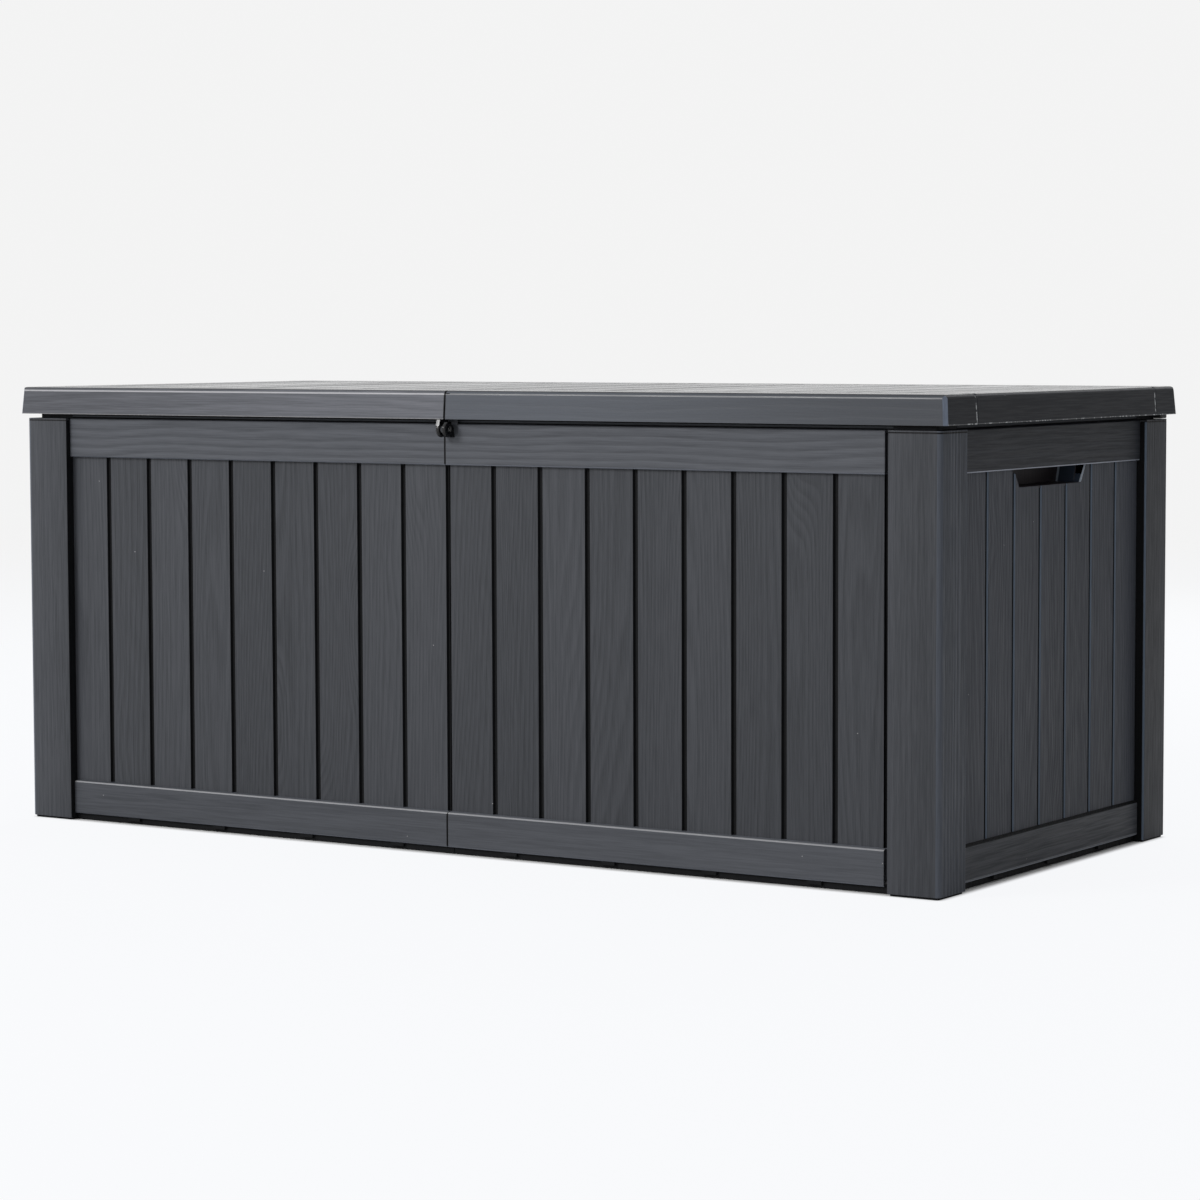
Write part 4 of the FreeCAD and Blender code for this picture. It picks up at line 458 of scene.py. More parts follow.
# %% Grain directions and sets of grain values
UP_FRONT = ("X", "Y", "Z")
UP_SIDE = ("Y", "X", "Z")
LEVEL_FRONT = ("Z", "Y", "X")
LEVEL_SIDE = ("Z", "X", "Y")
BOARDS_BACK = ("X", "Z", "Y")
BOARDS_ACROSS = ("Y", "Z", "X")
LEVEL_GRAIN = {"across": 9.0, "along": 0.9, "rings": 6.0, "spacing": 0.0140, "ripple": 1.7, "pore": 0.0020}
PLANK_GRAIN = {"across": 12.0, "along": 1.0, "rings": 18.0, "spacing": 0.0080, "ripple": 0.5, "knots": 0.3,
               "pore": 0.0017, "arch_tone": 0.27, "pore_tone": 0.40}
TOP_GRAIN = {"across": 10.0, "along": 0.5, "rings": 5.0, "spacing": 0.045, "ripple": 0.3, "relief": 0.00008,
             "rough": (0.13, 0.30), "tint": (1.02, 1.0, 0.95), "gloss_by": "Arches"}
POST_GRAIN = {"across": 40.0, "along": 0.5, "rings": 2.0, "spacing": 0.0078, "ripple": 0.4, "pore": 0.0016}
SMOOTH_GRAIN = {"across": 14.0, "along": 1.2, "rings": 3.0, "spacing": 0.03, "arch_tone": 0.12,
                "pore_tone": 0.36}
NO_GRAIN = {"across": 6.0, "along": 1.0, "rings": 0.0, "spacing": 1.0, "arch_tone": 0.0, "pore_tone": 0.12,
            "relief": 0.0001}
END_LIGHT_TINT = (0.97, 1.0, 1.07)
SHADE_AND_JOINT_BLACK = (0.004, 0.004, 0.005)
# Colour of painted highlights on lit edges beside deep shade.
BLUE_HIGHLIGHT = (0.15, 0.19, 0.25)
print("grain along", UP_FRONT[2], "on planks,", LEVEL_FRONT[2], "on long and", LEVEL_SIDE[2], "on end rails")

# %% [markdown]
# The walls copy three kinds of board: coarse arches on the upright planks, level lines on the top
# rails and the end's bottom rails, and a smoother face on the long bottom rails. The end wall's
# planks and top rail are tinted slightly bluer than the front's as painted cool light, and its rails
# are painted darker as shade. A dark line along the seam between two half walls is painted shade,
# wider than the seam's own gap, so that the thin joint shows from a distance. A pale line along the
# lower edge of the end's bottom rail is a painted highlight.

# %% Resin of the walls
PALE_HIGHLIGHT = (0.17, 0.18, 0.20)
# Painted shade: dark lines over the seams of the half walls, wider than their gaps.
FRONT_SEAM = ("X", -FRONT_SHIFT, 0.0030, 0.0, SHADE_AND_JOINT_BLACK)
REAR_SEAM = ("X", 0.0, 0.0030, 0.0, SHADE_AND_JOINT_BLACK)
# Painted highlight: a pale line along the lower edge of the end's bottom rail, lit from below.
END_RAIL_HIGHLIGHT = ("Z", BOTTOM_RAIL_LOW + 0.0026, 0.0022, 0.2, PALE_HIGHLIGHT)
TOP_RAIL = {"arch_tone": 0.40, "pore_tone": 0.34, "shade": 1.75, "relief": 0.0003, **LEVEL_GRAIN}
BOTTOM_RAIL = {"shade": 1.66, "speck_share": 0.05, "relief": 0.0003, **SMOOTH_GRAIN}
# The end's resins are lit and shaded copies of the front's: painted cool light, darker rails.
resin("planks_front", UP_FRONT, ("X", -FRONT_SHIFT, FRONT_PITCH), seed=3.0, shade=1.12, **PLANK_GRAIN)
resin("planks_side", UP_SIDE, ("Y", SIDE_FIRST, SIDE_PITCH), seed=5.0, shade=1.24, tint=END_LIGHT_TINT, **PLANK_GRAIN)
resin("rail_front", LEVEL_FRONT, lines_at=[FRONT_SEAM], **TOP_RAIL)
resin("rail_rear", LEVEL_FRONT, lines_at=[REAR_SEAM], **TOP_RAIL)
resin("rail_side", LEVEL_SIDE, arch_tone=0.34, pore_tone=0.2, shade=0.68, contrast=1.1, relief=0.0002,
      tint=END_LIGHT_TINT, **LEVEL_GRAIN)
resin("bottom_front", LEVEL_FRONT, lines_at=[FRONT_SEAM], **BOTTOM_RAIL)
resin("bottom_rear", LEVEL_FRONT, lines_at=[REAR_SEAM], **BOTTOM_RAIL)
resin("bottom_side", LEVEL_SIDE, arch_tone=0.35, pore_tone=0.35, shade=1.42, lines_at=[END_RAIL_HIGHLIGHT],
      **LEVEL_GRAIN)
print(len(finish), "resins for the walls")

# %% [markdown]
# The lid has a shallow grain. Its left front has more of it than the right one, and is painted
# paler as the light that falls from the left; both fronts are painted darker towards the ends as
# shade, and the ends themselves are painted dark as the shaded side. The ends are nearly plain, with
# rows of chips at two joint lines. Pale lines along the crest of the front's top round and along
# the lower edges of the left front and of the ends are painted highlights, and a dark line over the
# seam is painted shade. The boards on top are the glossiest resin, so that the pale room shows in
# them at a flat angle.

# %% Resin of the lid
SATIN = (0.28, 0.40)
CREST_HIGHLIGHT = (0.36, 0.36, 0.38)
EDGE_HIGHLIGHT = (0.22, 0.22, 0.23)
DULL_CREST_HIGHLIGHT = (0.15, 0.155, 0.165)
PALE_CHIP_AND_HIGHLIGHT = (0.50, 0.52, 0.54)
LID_CREST = LID_TOP - 0.0050
LID_EDGE = LID_LOW + 0.0004
LID_JOINTS = (-0.266, 0.282)
LID_FIRST_GROOVE = 0.018
LID_PITCH = 0.094
# Painted shade: a dark line over the seam of the lid halves, wider than its gap.
LID_SEAM = ("X", 0.0, 0.0036, 0.0, SHADE_AND_JOINT_BLACK)
# Painted highlights along the crest of the top round and along the left front's lower edge.
LEFT_LINES = [LID_SEAM, ("Z", LID_CREST, 0.0022, 0.0, CREST_HIGHLIGHT), ("Z", LID_EDGE, 0.0014, 0.3, EDGE_HIGHLIGHT)]
RIGHT_LINES = [LID_SEAM, ("Z", LID_CREST, 0.0020, 0.0, DULL_CREST_HIGHLIGHT)]
# Pale chips at two joint lines, and a broken painted highlight along the lower edge.
END_LINES = [("Y", LID_JOINTS[0], 0.0022, 1.0, PALE_CHIP_AND_HIGHLIGHT), ("Y", LID_JOINTS[1], 0.0022, 1.0, PALE_CHIP_AND_HIGHLIGHT),
             ("Z", LID_EDGE, 0.0020, 0.8, PALE_CHIP_AND_HIGHLIGHT)]
# Lit and shaded copies of one resin: left front paler, right front darker, ends dark.
resin("lid_front_left", LEVEL_FRONT, arch_tone=0.22, pore_tone=0.45, shade=2.78, ends=0.72, rough=SATIN,
      tint=(1.03, 1.0, 0.99), relief=0.0002, lines_at=LEFT_LINES, **LEVEL_GRAIN)
resin("lid_rear", LEVEL_FRONT, arch_tone=0.2, pore_tone=0.4, shade=1.7, rough=SATIN, relief=0.0002,
      lines_at=[LID_SEAM], **LEVEL_GRAIN)
resin("lid_front_right", LEVEL_FRONT, arch_tone=0.08, pore_tone=0.3, shade=2.0, ends=0.6, contrast=0.7,
      tint=(0.97, 1.0, 1.03), rough=SATIN, relief=0.00015, lines_at=RIGHT_LINES, **LEVEL_GRAIN)
resin("lid_side", LEVEL_SIDE, arch_tone=0.05, pore_tone=0.16, shade=0.53, contrast=0.7, speck_share=0.02,
      relief=0.00006, tint=(0.97, 1.0, 1.06), lines_at=END_LINES, **LEVEL_GRAIN)
resin("lid_boards", BOARDS_BACK, ("X", LID_FIRST_GROOVE, LID_PITCH), shade=1.5, contrast=1.5, seed=9.0,
      **TOP_GRAIN)
resin("lid_edge_boards", BOARDS_ACROSS, shade=1.5, contrast=1.5, **TOP_GRAIN)
print(len(finish), "resins with those of the lid")

# %% [markdown]
# The posts have fine upright grain and reeded lines, which are stronger on the faces that look
# sideways. Those faces are also painted paler and bluer than the front faces, as painted light.
# The rounds at the corners of posts and lid are painted highlights: a paler, bluer resin of their
# own. A dark line marks the joint under each post's cap.

# %% Resin of the posts and corners
CORNER_GLOSS = (0.3, 0.42)
CAP_JOINT = ("Z", CAP_TOP - 0.003, 0.0020, 0.0, SHADE_AND_JOINT_BLACK)
POST_FACE = {"arch_tone": 0.1, "pore_tone": 0.5, "relief": 0.0004, "lines_at": [CAP_JOINT], **POST_GRAIN}
ROUND_CORNER = {"arch_tone": 0.1, "pore_tone": 0.3, "relief": 0.0003, "rough": CORNER_GLOSS, **POST_GRAIN}
POST_END_HIGHLIGHT = ("|X|", HALF_WIDE - 0.0014, 0.0036, 0.0, BLUE_HIGHLIGHT)
DEEP_SHADE = {"shade": 0.14, "rough": (0.5, 0.7), "specular": 0.12, **NO_GRAIN}
resin("post", UP_FRONT, reeds=0.18, shade=1.11, **POST_FACE)
# Painted light: the sideways faces are paler and bluer than the front faces.
resin("post_side", UP_FRONT, reeds=0.65, shade=1.55, tint=(0.96, 1.0, 1.06), **POST_FACE)
# Painted shade on the ends of the L, with a painted highlight along the outer edge.
resin("post_end", UP_FRONT, lines_at=[POST_END_HIGHLIGHT], **DEEP_SHADE)
# Painted highlights: the rounds at post and lid corners are a paler, bluer resin.
resin("post_corner_highlight", UP_FRONT, key="corner", shade=2.1, tint=(0.95, 1.0, 1.07), lines_at=[CAP_JOINT],
      **ROUND_CORNER)
resin("lid_corner", UP_FRONT, shade=4.4, tint=(0.91, 1.0, 1.13), **ROUND_CORNER)
print(len(finish), "resins with those of the posts")

# %% [markdown]
# What is left has no grain: edges that the floor lights from below, the lip under the lid, the
# bottoms of the grooves, the hand scoop, and the plain inside. Narrow faces in the shade get a
# darker resin, and those that catch the light a paler one, so that they read as fine lines.

# %% Resin of narrow faces
LIP_LINE = (0.075, 0.080, 0.090)
RAIL_HIGHLIGHT = (0.34, 0.345, 0.36)
SCOOP_EDGE_HIGHLIGHT = (0.62, 0.70, 0.80)
SCOOP_CORNER_HIGHLIGHT = (0.36, 0.42, 0.50)
LIP_FOOT = ("Z", CAP_TOP + 0.0030, 0.0026, 0.0, LIP_LINE)
RAIL_CREST_HIGHLIGHT = ("Z", BOTTOM_RAIL_TOP - 0.0022, 0.0020, 0.1, RAIL_HIGHLIGHT)
GROOVE_MOUTH_HIGHLIGHT = ("|X|", HALF_WIDE - 0.0159, 0.0032, 0.0, BLUE_HIGHLIGHT)
SCOOP_HIGHLIGHTS = [("|X|", HALF_WIDE - 0.0167, 0.0040, 0.0, SCOOP_EDGE_HIGHLIGHT),
               ("|X|", SCOOP_BACK + 0.0012, 0.0040, 0.0, SCOOP_CORNER_HIGHLIGHT)]
# Painted shade: a black band on the cap's rim under the lid, and a dark joint line below it.
CAP_SHADE_AND_JOINT = [("Z", CAP_TOP + 0.011, 0.0170, 0.0, SHADE_AND_JOINT_BLACK),
             ("Z", CAP_TOP - 0.0001, 0.0010, 0.0, SHADE_AND_JOINT_BLACK)]
resin("lit_edge", UP_FRONT, shade=2.8, tint=(0.98, 1.0, 1.04), **NO_GRAIN)
resin("lit_edge_side", UP_FRONT, shade=6.0, tint=(0.98, 1.0, 1.03), **NO_GRAIN)
# The lip is painted dark as the shade under the lid, with a paler line near its foot.
resin("lip", UP_FRONT, shade=0.22, specular=0.06, rough=(0.6, 0.7), speck_share=0.0, lines_at=[LIP_FOOT],
      **NO_GRAIN)
# The top slope of the long bottom rails is painted paler, with a painted highlight on its crest.
resin("rail_crest", UP_FRONT, shade=1.9, lines_at=[RAIL_CREST_HIGHLIGHT], **NO_GRAIN)
resin("lock_plate", UP_FRONT, key="plate", shade=0.95, contrast=0.5, rough=(0.3, 0.4), speck_share=0.0,
      **NO_GRAIN)
resin("plain_resin", UP_FRONT, key="plain", shade=0.8, contrast=0.5, speck_share=0.0, **NO_GRAIN)
resin("shaded_resin", UP_FRONT, key="shaded", contrast=0.6, speck_share=0.0, **DEEP_SHADE)
# Painted shade on the sides of the end's grooves, with a painted highlight at the mouth.
resin("groove_side", UP_FRONT, lines_at=[GROOVE_MOUTH_HIGHLIGHT], **DEEP_SHADE)
# Painted light: the scoop's front-facing wall is paler and bluer than its back, with painted highlights.
resin("scoop_end", UP_FRONT, shade=0.9, tint=(0.8, 1.0, 1.3), rough=CORNER_GLOSS, lines_at=SCOOP_HIGHLIGHTS,
      **NO_GRAIN)
resin("scoop_back", UP_FRONT, shade=0.34, tint=(1.25, 0.96, 0.98), rough=(0.4, 0.5), **NO_GRAIN)
resin("cap_rim", UP_FRONT, shade=1.0, specular=0.12, lines_at=CAP_SHADE_AND_JOINT, **NO_GRAIN)
print(len(finish), "resin finishes")

# %% [markdown]
# The small parts are metal and black plastic. Zinc-plated screws and tubes show a faint
# crystalline cloudiness and are duller than polished steel. Powder coat shows a fine orange peel,
# enamel and chrome almost nothing but a little handling haze. So each gets one noise that varies
# its roughness and tone, and on some of them the relief too.

# %% Finishes of the hardware
CLOUD_DETAIL = 3.0
CLOUD_ROUGHNESS = 0.6
PEEL_STRENGTH = 0.5


def hardware(name, colour, metallic, rough, noise_scale, relief=0.0, variety=0.15, stretch=(1.0, 1.0, 1.0),
             specular=0.5):
    """A metal or plastic whose roughness and tone wander a little. rough is (least, most)."""
    made = bpy.data.materials.new(name)
    made.use_nodes = True
    tree = made.node_tree
    shader = tree.nodes["Principled BSDF"]
    shader.inputs["Metallic"].default_value = metallic
    shader.inputs["Specular IOR Level"].default_value = specular
    where = put(tree, "ShaderNodeTexCoord").outputs["Object"]
    drawn = put(tree, "ShaderNodeVectorMath", {"operation": "MULTIPLY"}, in0=where, in1=stretch).outputs[0]
    cloud = put(tree, "ShaderNodeTexNoise", Vector=drawn, Scale=noise_scale, Detail=CLOUD_DETAIL,
                Roughness=CLOUD_ROUGHNESS)
    share = span(tree, cloud.outputs["Fac"], *NOISE_RANGE)
    low = [value * (1.0 - variety) for value in colour]
    high = [min(1.0, value * (1.0 + variety)) for value in colour]
    feed(tree, shader.inputs["Base Color"], blend_colours(tree, share, (*low, 1.0), (*high, 1.0)))
    feed(tree, shader.inputs["Roughness"], span(tree, share, 0.0, 1.0, rough[0], rough[1]))
    if relief:
        bump = put(tree, "ShaderNodeBump", Strength=PEEL_STRENGTH, Distance=relief,
                   Height=cloud.outputs["Fac"])
        feed(tree, shader.inputs["Normal"], bump.outputs[0])
    finish[name] = made


hardware("black_resin", (0.030, 0.031, 0.034), 0.0, (0.48, 0.62), 90.0, 0.0002)
hardware("gloss_black", (0.005, 0.005, 0.006), 0.0, (0.07, 0.13), 60.0, 0.00003, specular=0.45)
hardware("zinc_steel", (0.30, 0.305, 0.32), 1.0, (0.44, 0.56), 45.0, 0.0, 0.08)
hardware("coated_steel", (0.032, 0.033, 0.037), 0.0, (0.36, 0.5), 700.0, 0.0002)
hardware("black_tube", (0.014, 0.014, 0.016), 0.0, (0.16, 0.26), 40.0, 0.00002)
hardware("bright_rod", (0.75, 0.75, 0.77), 1.0, (0.06, 0.14), 30.0, 0.0, stretch=(1.0, 1.0, 0.1))
print(len(finish), "finishes in all")

# %% [markdown]
# A CAD solid has perfectly sharp edges, and nothing moulded does: the small round along every edge
# is what catches the light and makes plastic read as plastic. So the visible shells are copied,
# their flat facets are joined back into whole faces, and a bevel modifier rounds each edge by
# less than a millimetre. The copy then stands in for its node, in exactly the same place.

# %% Softened copies
SHARP = math.radians(28)
FLAT = math.radians(0.5)
SAME_PLACE = 1e-6
ON_PLANE = 1e-5
RIM_SEGMENTS = 4
FACE_WEIGHT = 100


def as_object(name, made, finishes=()):
    """Turns an edited mesh into an object of the scene, with its finishes."""
    mesh = bpy.data.meshes.new(name)
    for finish_name in finishes:
        mesh.materials.append(finish[finish_name])
    made.to_mesh(mesh)
    made.free()
    piece = bpy.data.objects.new(name, mesh)
    bpy.context.collection.objects.link(piece)
    return piece


def softened(node, width, finishes, paint=None, segments=2, rims=None, cut_at=None):
    """A copy of a CAD node with rounded edges. paint names each face's finish from finishes.

    rims is (test, width) for edges that get a round of their own: the test is asked about each edge.
    cut_at is a height at which upright faces are divided, so that each half can have its own finish.
    """
    made = bmesh.new()
    made.from_mesh(nodes[node].data)
    bmesh.ops.remove_doubles(made, verts=made.verts, dist=SAME_PLACE)
    bmesh.ops.dissolve_limit(made, angle_limit=FLAT, verts=made.verts, edges=made.edges)
    made.normal_update()
    if cut_at is not None:
        everything = made.verts[:] + made.edges[:] + made.faces[:]
        bmesh.ops.bisect_plane(made, geom=everything, dist=ON_PLANE, plane_co=(0.0, 0.0, cut_at),
                               plane_no=(0.0, 0.0, 1.0))
        made.normal_update()
    if rims:
        chosen = [edge for edge in made.edges if rims[0](edge)]
        bmesh.ops.bevel(made, geom=chosen, offset=rims[1], segments=RIM_SEGMENTS, profile=0.5,
                        affect="EDGES")
        made.normal_update()
    for face in made.faces:
        face.smooth = True
        face.material_index = finishes.index(paint(face.calc_center_median(), face.normal)) if paint else 0
    piece = as_object(node + "_shell", made, finishes)
    edge = piece.modifiers.new("rounded_edges", "BEVEL")
    edge.width = width
    edge.segments = segments
    edge.limit_method = "ANGLE"
    edge.angle_limit = SHARP
    edge.use_clamp_overlap = True
    flat = piece.modifiers.new("flat_faces", "WEIGHTED_NORMAL")
    flat.weight = FACE_WEIGHT
    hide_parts(node)
    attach(piece, body_of[node])
    return piece


def tell(what, pieces):
    print(len(pieces), what, "with", sum(len(piece.data.polygons) for piece in pieces), "faces")


print("edges sharper than", round(math.degrees(SHARP)), "degrees get a round")

# %% [markdown]
# Each moulding gets its finishes face by face. The rule looks at where the middle of a face is
# and where it points: planks, rails, the lip under the lid, the deep grooves that stay in the
# shade, and the plain inside.

# %% Walls
LIP_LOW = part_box("post_cap_front_right")[1].z - 0.014
FRONT_PLANK_FACE = HALF_DEEP - 0.015
SIDE_PLANK_FACE = HALF_WIDE - 0.0155
SCOOP_LOW = TOP_RAIL_LOW - 0.026
SCOOP_HIGH = TOP_RAIL_LOW + 0.024
SCOOP_HALF = 0.112
LONG_WALL_ROUND = 0.0007
END_WALL_ROUND = 0.0009
GROOVE_MARGIN = 0.0002
RAIL_BEVEL = 0.003
SEAM_ZONE = 0.02


def wall_paint(middle, normal, out, out_normal, plank_face, planks, rail, bottom, edge):
    """out is the distance from the box's middle to the face, and out_normal how much it faces out."""
    if out_normal < -0.5:
        return "plain"
    if abs(normal.x) > 0.9 and abs(middle.x) < SEAM_ZONE:
        return "shaded"
    if middle.z > LIP_LOW + GROOVE_MARGIN:
        return "lip"
    if middle.z > TOP_RAIL_LOW - GROOVE_MARGIN:
        return edge if low_bevel(middle, normal, TOP_RAIL_LOW) else rail
    if middle.z < BOTTOM_RAIL_TOP + GROOVE_MARGIN:
        # The top slope of a bottom rail: painted shade on the ends, a painted highlight on the long walls.
        if normal.z > 0.3:
            return "shaded" if planks == "planks_side" else "rail_crest"
        return edge if low_bevel(middle, normal, BOTTOM_RAIL_LOW) else bottom
    if out < plank_face - GROOVE_MARGIN:
        return "groove_side" if planks == "planks_side" and normal.y < -0.5 else "shaded"
    return planks


def low_bevel(middle, normal, low):
    """The slope along the lower edge of a rail, which the pale floor lights from below."""
    return -0.9 < normal.z < -0.3 and middle.z < low + RAIL_BEVEL


def long_wall_paint(middle, normal):
    """The finish of a face of the front or rear wall."""
    side = math.copysign(1.0, middle.y)
    end = "front" if side < 0 else "rear"
    return wall_paint(middle, normal, abs(middle.y), side * normal.y, FRONT_PLANK_FACE, "planks_front",
                      f"rail_{end}", f"bottom_{end}", "lit_edge")


def end_wall_paint(middle, normal):
    """The finish of a face of an end wall, with its hand scoop."""
    side = math.copysign(1.0, middle.x)
    scoop = SCOOP_LOW < middle.z < SCOOP_HIGH and abs(middle.y) < SCOOP_HALF
    if scoop and abs(middle.x) < SIDE_PLANK_FACE - GROOVE_MARGIN:
        return "scoop_end" if normal.y < -0.3 else "scoop_back"
    return wall_paint(middle, normal, abs(middle.x), side * normal.x, SIDE_PLANK_FACE, "planks_side",
                      "rail_side", "bottom_side", "lit_edge_side")


LONG_FINISHES = ["planks_front", "lit_edge", "rail_crest", "lip", "shaded", "plain"]
END_FINISHES = ["planks_side", "rail_side", "bottom_side", "lit_edge_side", "groove_side", "scoop_back",
                "scoop_end", "lip", "shaded", "plain"]
walls = []
for word in ("left", "right"):
    for end in ("front", "rear"):
        walls.append(softened(f"{end}_panel_{word}", LONG_WALL_ROUND,
                              LONG_FINISHES + [f"rail_{end}", f"bottom_{end}"], long_wall_paint,
                              cut_at=LIP_LOW))
    walls.append(softened(f"side_panel_{word}", END_WALL_ROUND, END_FINISHES, end_wall_paint))
tell("walls", walls)

# %% [markdown]
# The posts are hollow L sections. The narrow ends of the L look into the gap beside the panels,
# where hardly any light gets, so they take dark finishes.

# %% Posts and caps
FOOT_RISE = 0.003
POST_ROUND = 0.0007
CAP_ROUND = 0.0005
POST_FINISHES = ["post", "post_side", "corner", "post_end", "shaded"]
CAP_FINISHES = ["post", "post_side", "corner", "cap_rim"]


def post_paint(middle, normal):
    """The finish of a face of a post: painted shade on the ends of the L and on the foot."""
    inward_x = -math.copysign(1.0, middle.x) * normal.x
    inward_y = -math.copysign(1.0, middle.y) * normal.y
    near_end_x = abs(middle.x) < HALF_WIDE - POST_FRONT_WIDE + GROOVE_MARGIN
    near_end_y = abs(middle.y) < HALF_DEEP - POST_SIDE_WIDE + GROOVE_MARGIN
    if inward_x > 0.5 and near_end_x:
        return "shaded"
    if inward_y > 0.5 and near_end_y:
        return "post_end"
    if middle.z < FOOT_RISE + GROOVE_MARGIN and normal.z > -0.5:
        return "shaded"
    return corner_paint(middle, normal)


def corner_paint(middle, normal):
    """Painted highlight on the round between a post's outer faces; painted light on side faces."""
    outward = middle.x * normal.x > 0 and middle.y * normal.y > 0
    if outward and min(abs(normal.x), abs(normal.y)) > 0.15:
        return "corner"
    sideways = abs(normal.x) > 0.7 and (middle.y < 0 or middle.x < 0)
    return "post_side" if sideways else "post"


def cap_paint(middle, normal):
    """The finish of a face of a cap, whose rim stands up inside the lid."""
    return "cap_rim" if middle.z > LIP_LOW + GROOVE_MARGIN else corner_paint(middle, normal)


posts = []
for word in ("left", "right"):
    for end in ("front", "rear"):
        posts.append(softened(f"post_{end}_{word}", POST_ROUND, POST_FINISHES, post_paint))
        posts.append(softened(f"post_cap_{end}_{word}", CAP_ROUND, CAP_FINISHES, cap_paint))
tell("posts and caps", posts)

# %% [markdown]
# The lid is two mouldings that meet in a seam over the padlock ears. On top, boards run from
# front to back between a long board at the front edge and one at the back.

# %% Lid
LID_FRONT_OVER = 0.005
LID_REAR_OVER = 0.009
LID_FRONT_BOARD = 0.089
LID_REAR_BOARD = 0.069
LID_FRONT_GROOVE = -HALF_DEEP - LID_FRONT_OVER + LID_FRONT_BOARD
LID_REAR_GROOVE = HALF_DEEP + LID_REAR_OVER - LID_REAR_BOARD
LID_GROOVE_DEEP = 0.002
LID_SKIN = 0.0025
LID_ROUND = 0.0008


def lid_paint(middle, normal):
    """The finish of a face of the lid, by where it lies and where it points."""
    inside = abs(middle.y) < HALF_DEEP and abs(middle.x) < HALF_WIDE and middle.z < LID_TOP - LID_SKIN
    if normal.z < -0.3 or inside:
        return "plain"
    if abs(normal.x) > 0.9 and abs(middle.x) < SEAM_ZONE:
        return "shaded"
    if normal.z > 0.8:
        if middle.z < LID_TOP - 0.5 * LID_GROOVE_DEEP:
            return "shaded"
        long_board = middle.y < LID_FRONT_GROOVE or middle.y > LID_REAR_GROOVE
        return "lid_edge_boards" if long_board else "lid_boards"
    # Painted light and shade: ends dark, corner cuts as highlights, the two fronts lit copies.
    if abs(middle.x) > HALF_WIDE and abs(normal.x) > 0.85:
        return "lid_side"
    if abs(middle.x) > HALF_WIDE and abs(normal.x) > 0.5 and normal.z < 0.3:
        return "lid_corner"
    if middle.y > 0:
        return "lid_rear"
    return "lid_front_left" if middle.x < 0 else "lid_front_right"


LID_FINISHES = ["lid_front_left", "lid_front_right", "lid_rear", "lid_side", "lid_boards",
                "lid_edge_boards", "lid_corner", "shaded", "plain"]
tell("lid halves", [softened(f"lid_panel_{word}", LID_ROUND, LID_FINISHES, lid_paint, segments=3)
                    for word in ("left", "right")])

# %% [markdown]
# The parts under the floor, behind the seams and under the lid are black resin. Hinge leaves and
# strut brackets are pressed steel with a black powder coat. They too get softened edges.

# %% Hidden parts and hardware
MOULDED_ROUND = 0.0005
PRESSED_ROUND = 0.0004
TURNED_ROUND = 0.0003
FLOOR_EDGE = BOTTOM_RAIL_LOW + 0.002


def floor_paint(middle, normal):
    """The floor's lowest faces are painted shade, for the dark line under the rails."""
    return "shaded" if middle.z < FLOOR_EDGE else "black_resin"


hidden = [softened(node, MOULDED_ROUND, ["black_resin", "shaded"], floor_paint)
          for node in ("floor_panel_left", "floor_panel_right", "floor_beam")]
for node in ("panel_joiner_front", "panel_joiner_rear", "lid_joiner", "lid_tube_saddles"):
    hidden.append(softened(node, MOULDED_ROUND, ["black_resin"]))
for letter in "abcd":
    for body in ("box", "lid"):
        hidden.append(softened(f"hinge_leaf_{body}_{letter}", PRESSED_ROUND, ["coated_steel"]))
for word in ("left", "right"):
    for body in ("box", "lid"):
        hidden.append(softened(f"strut_bracket_{body}_{word}", PRESSED_ROUND, ["coated_steel"]))
    for kind in ("strut_cylinder", "strut_gland", "strut_eye_lower", "strut_eye_upper", "strut_rod",
                 "strut_piston"):
        node = f"{kind}_{word}"
        hidden.append(softened(node, TURNED_ROUND, [slot_of[node]]))
for node in ("lid_tube_front", "lid_tube_rear", "hinge_pins", "hinge_screws_box", "hinge_screws_lid",
             "bracket_screws_box_left", "bracket_screws_box_right", "bracket_screws_lid"):
    hidden.append(softened(node, TURNED_ROUND, ["zinc_steel"]))
tell("hidden parts and hardware", hidden)

# %% [markdown]
# The padlock ears are small and glossy. A wide round on them mirrors a lamp as a bright spot, as the
# photograph shows, where a sharp edge can't. So the edges round each ear and its hole get a larger
# bevel, before the small one that all copies have.

# %% Padlock ears
EAR_RIM_TOP = 0.6005
EAR_BACK = -0.336
EAR_FAR = 0.0085
EAR_TURN = 0.5
EAR_RIM_ROUND = 0.0027


def ear_rim(edge):
    """An edge that runs round a padlock ear or its hole, on one of its two flat sides."""
    first, second = (vert.co for vert in edge.verts)
    turned = len(edge.link_faces) == 2 and edge.calc_face_angle() > EAR_TURN
    on_one_side = abs(first.x - second.x) < ON_PLANE and abs(first.x) < EAR_FAR
    below = max(first.z, second.z) < EAR_RIM_TOP and max(first.y, second.y) < EAR_BACK
    return turned and on_one_side and below


tell("padlock ears", [softened(node, MOULDED_ROUND, ["gloss_black"], segments=3,
                               rims=(ear_rim, EAR_RIM_ROUND))
                      for node in ("lock_ear_box", "lock_ear_lid")])

# %% [markdown]
# Under the lid's rear corners sit two small rubber pads, which end half a millimetre above the caps
# of the rear posts. Dark strips behind the seams of the lid and of the top rails close the seams, so
# that they show dark and no light comes through; the lid's strips are painted shade. The plate
# behind the padlock ears is thin enough for the lid's ear to swing past it. All are plain bars with
# rounded edges, each drawn between two corners.

# %% Pads, strips and the lock plate
BAR_SEGMENTS = 3
PAD_ROUND = 0.0015
STRIP_ROUND = 0.0006
PLATE_ROUND = 0.0003


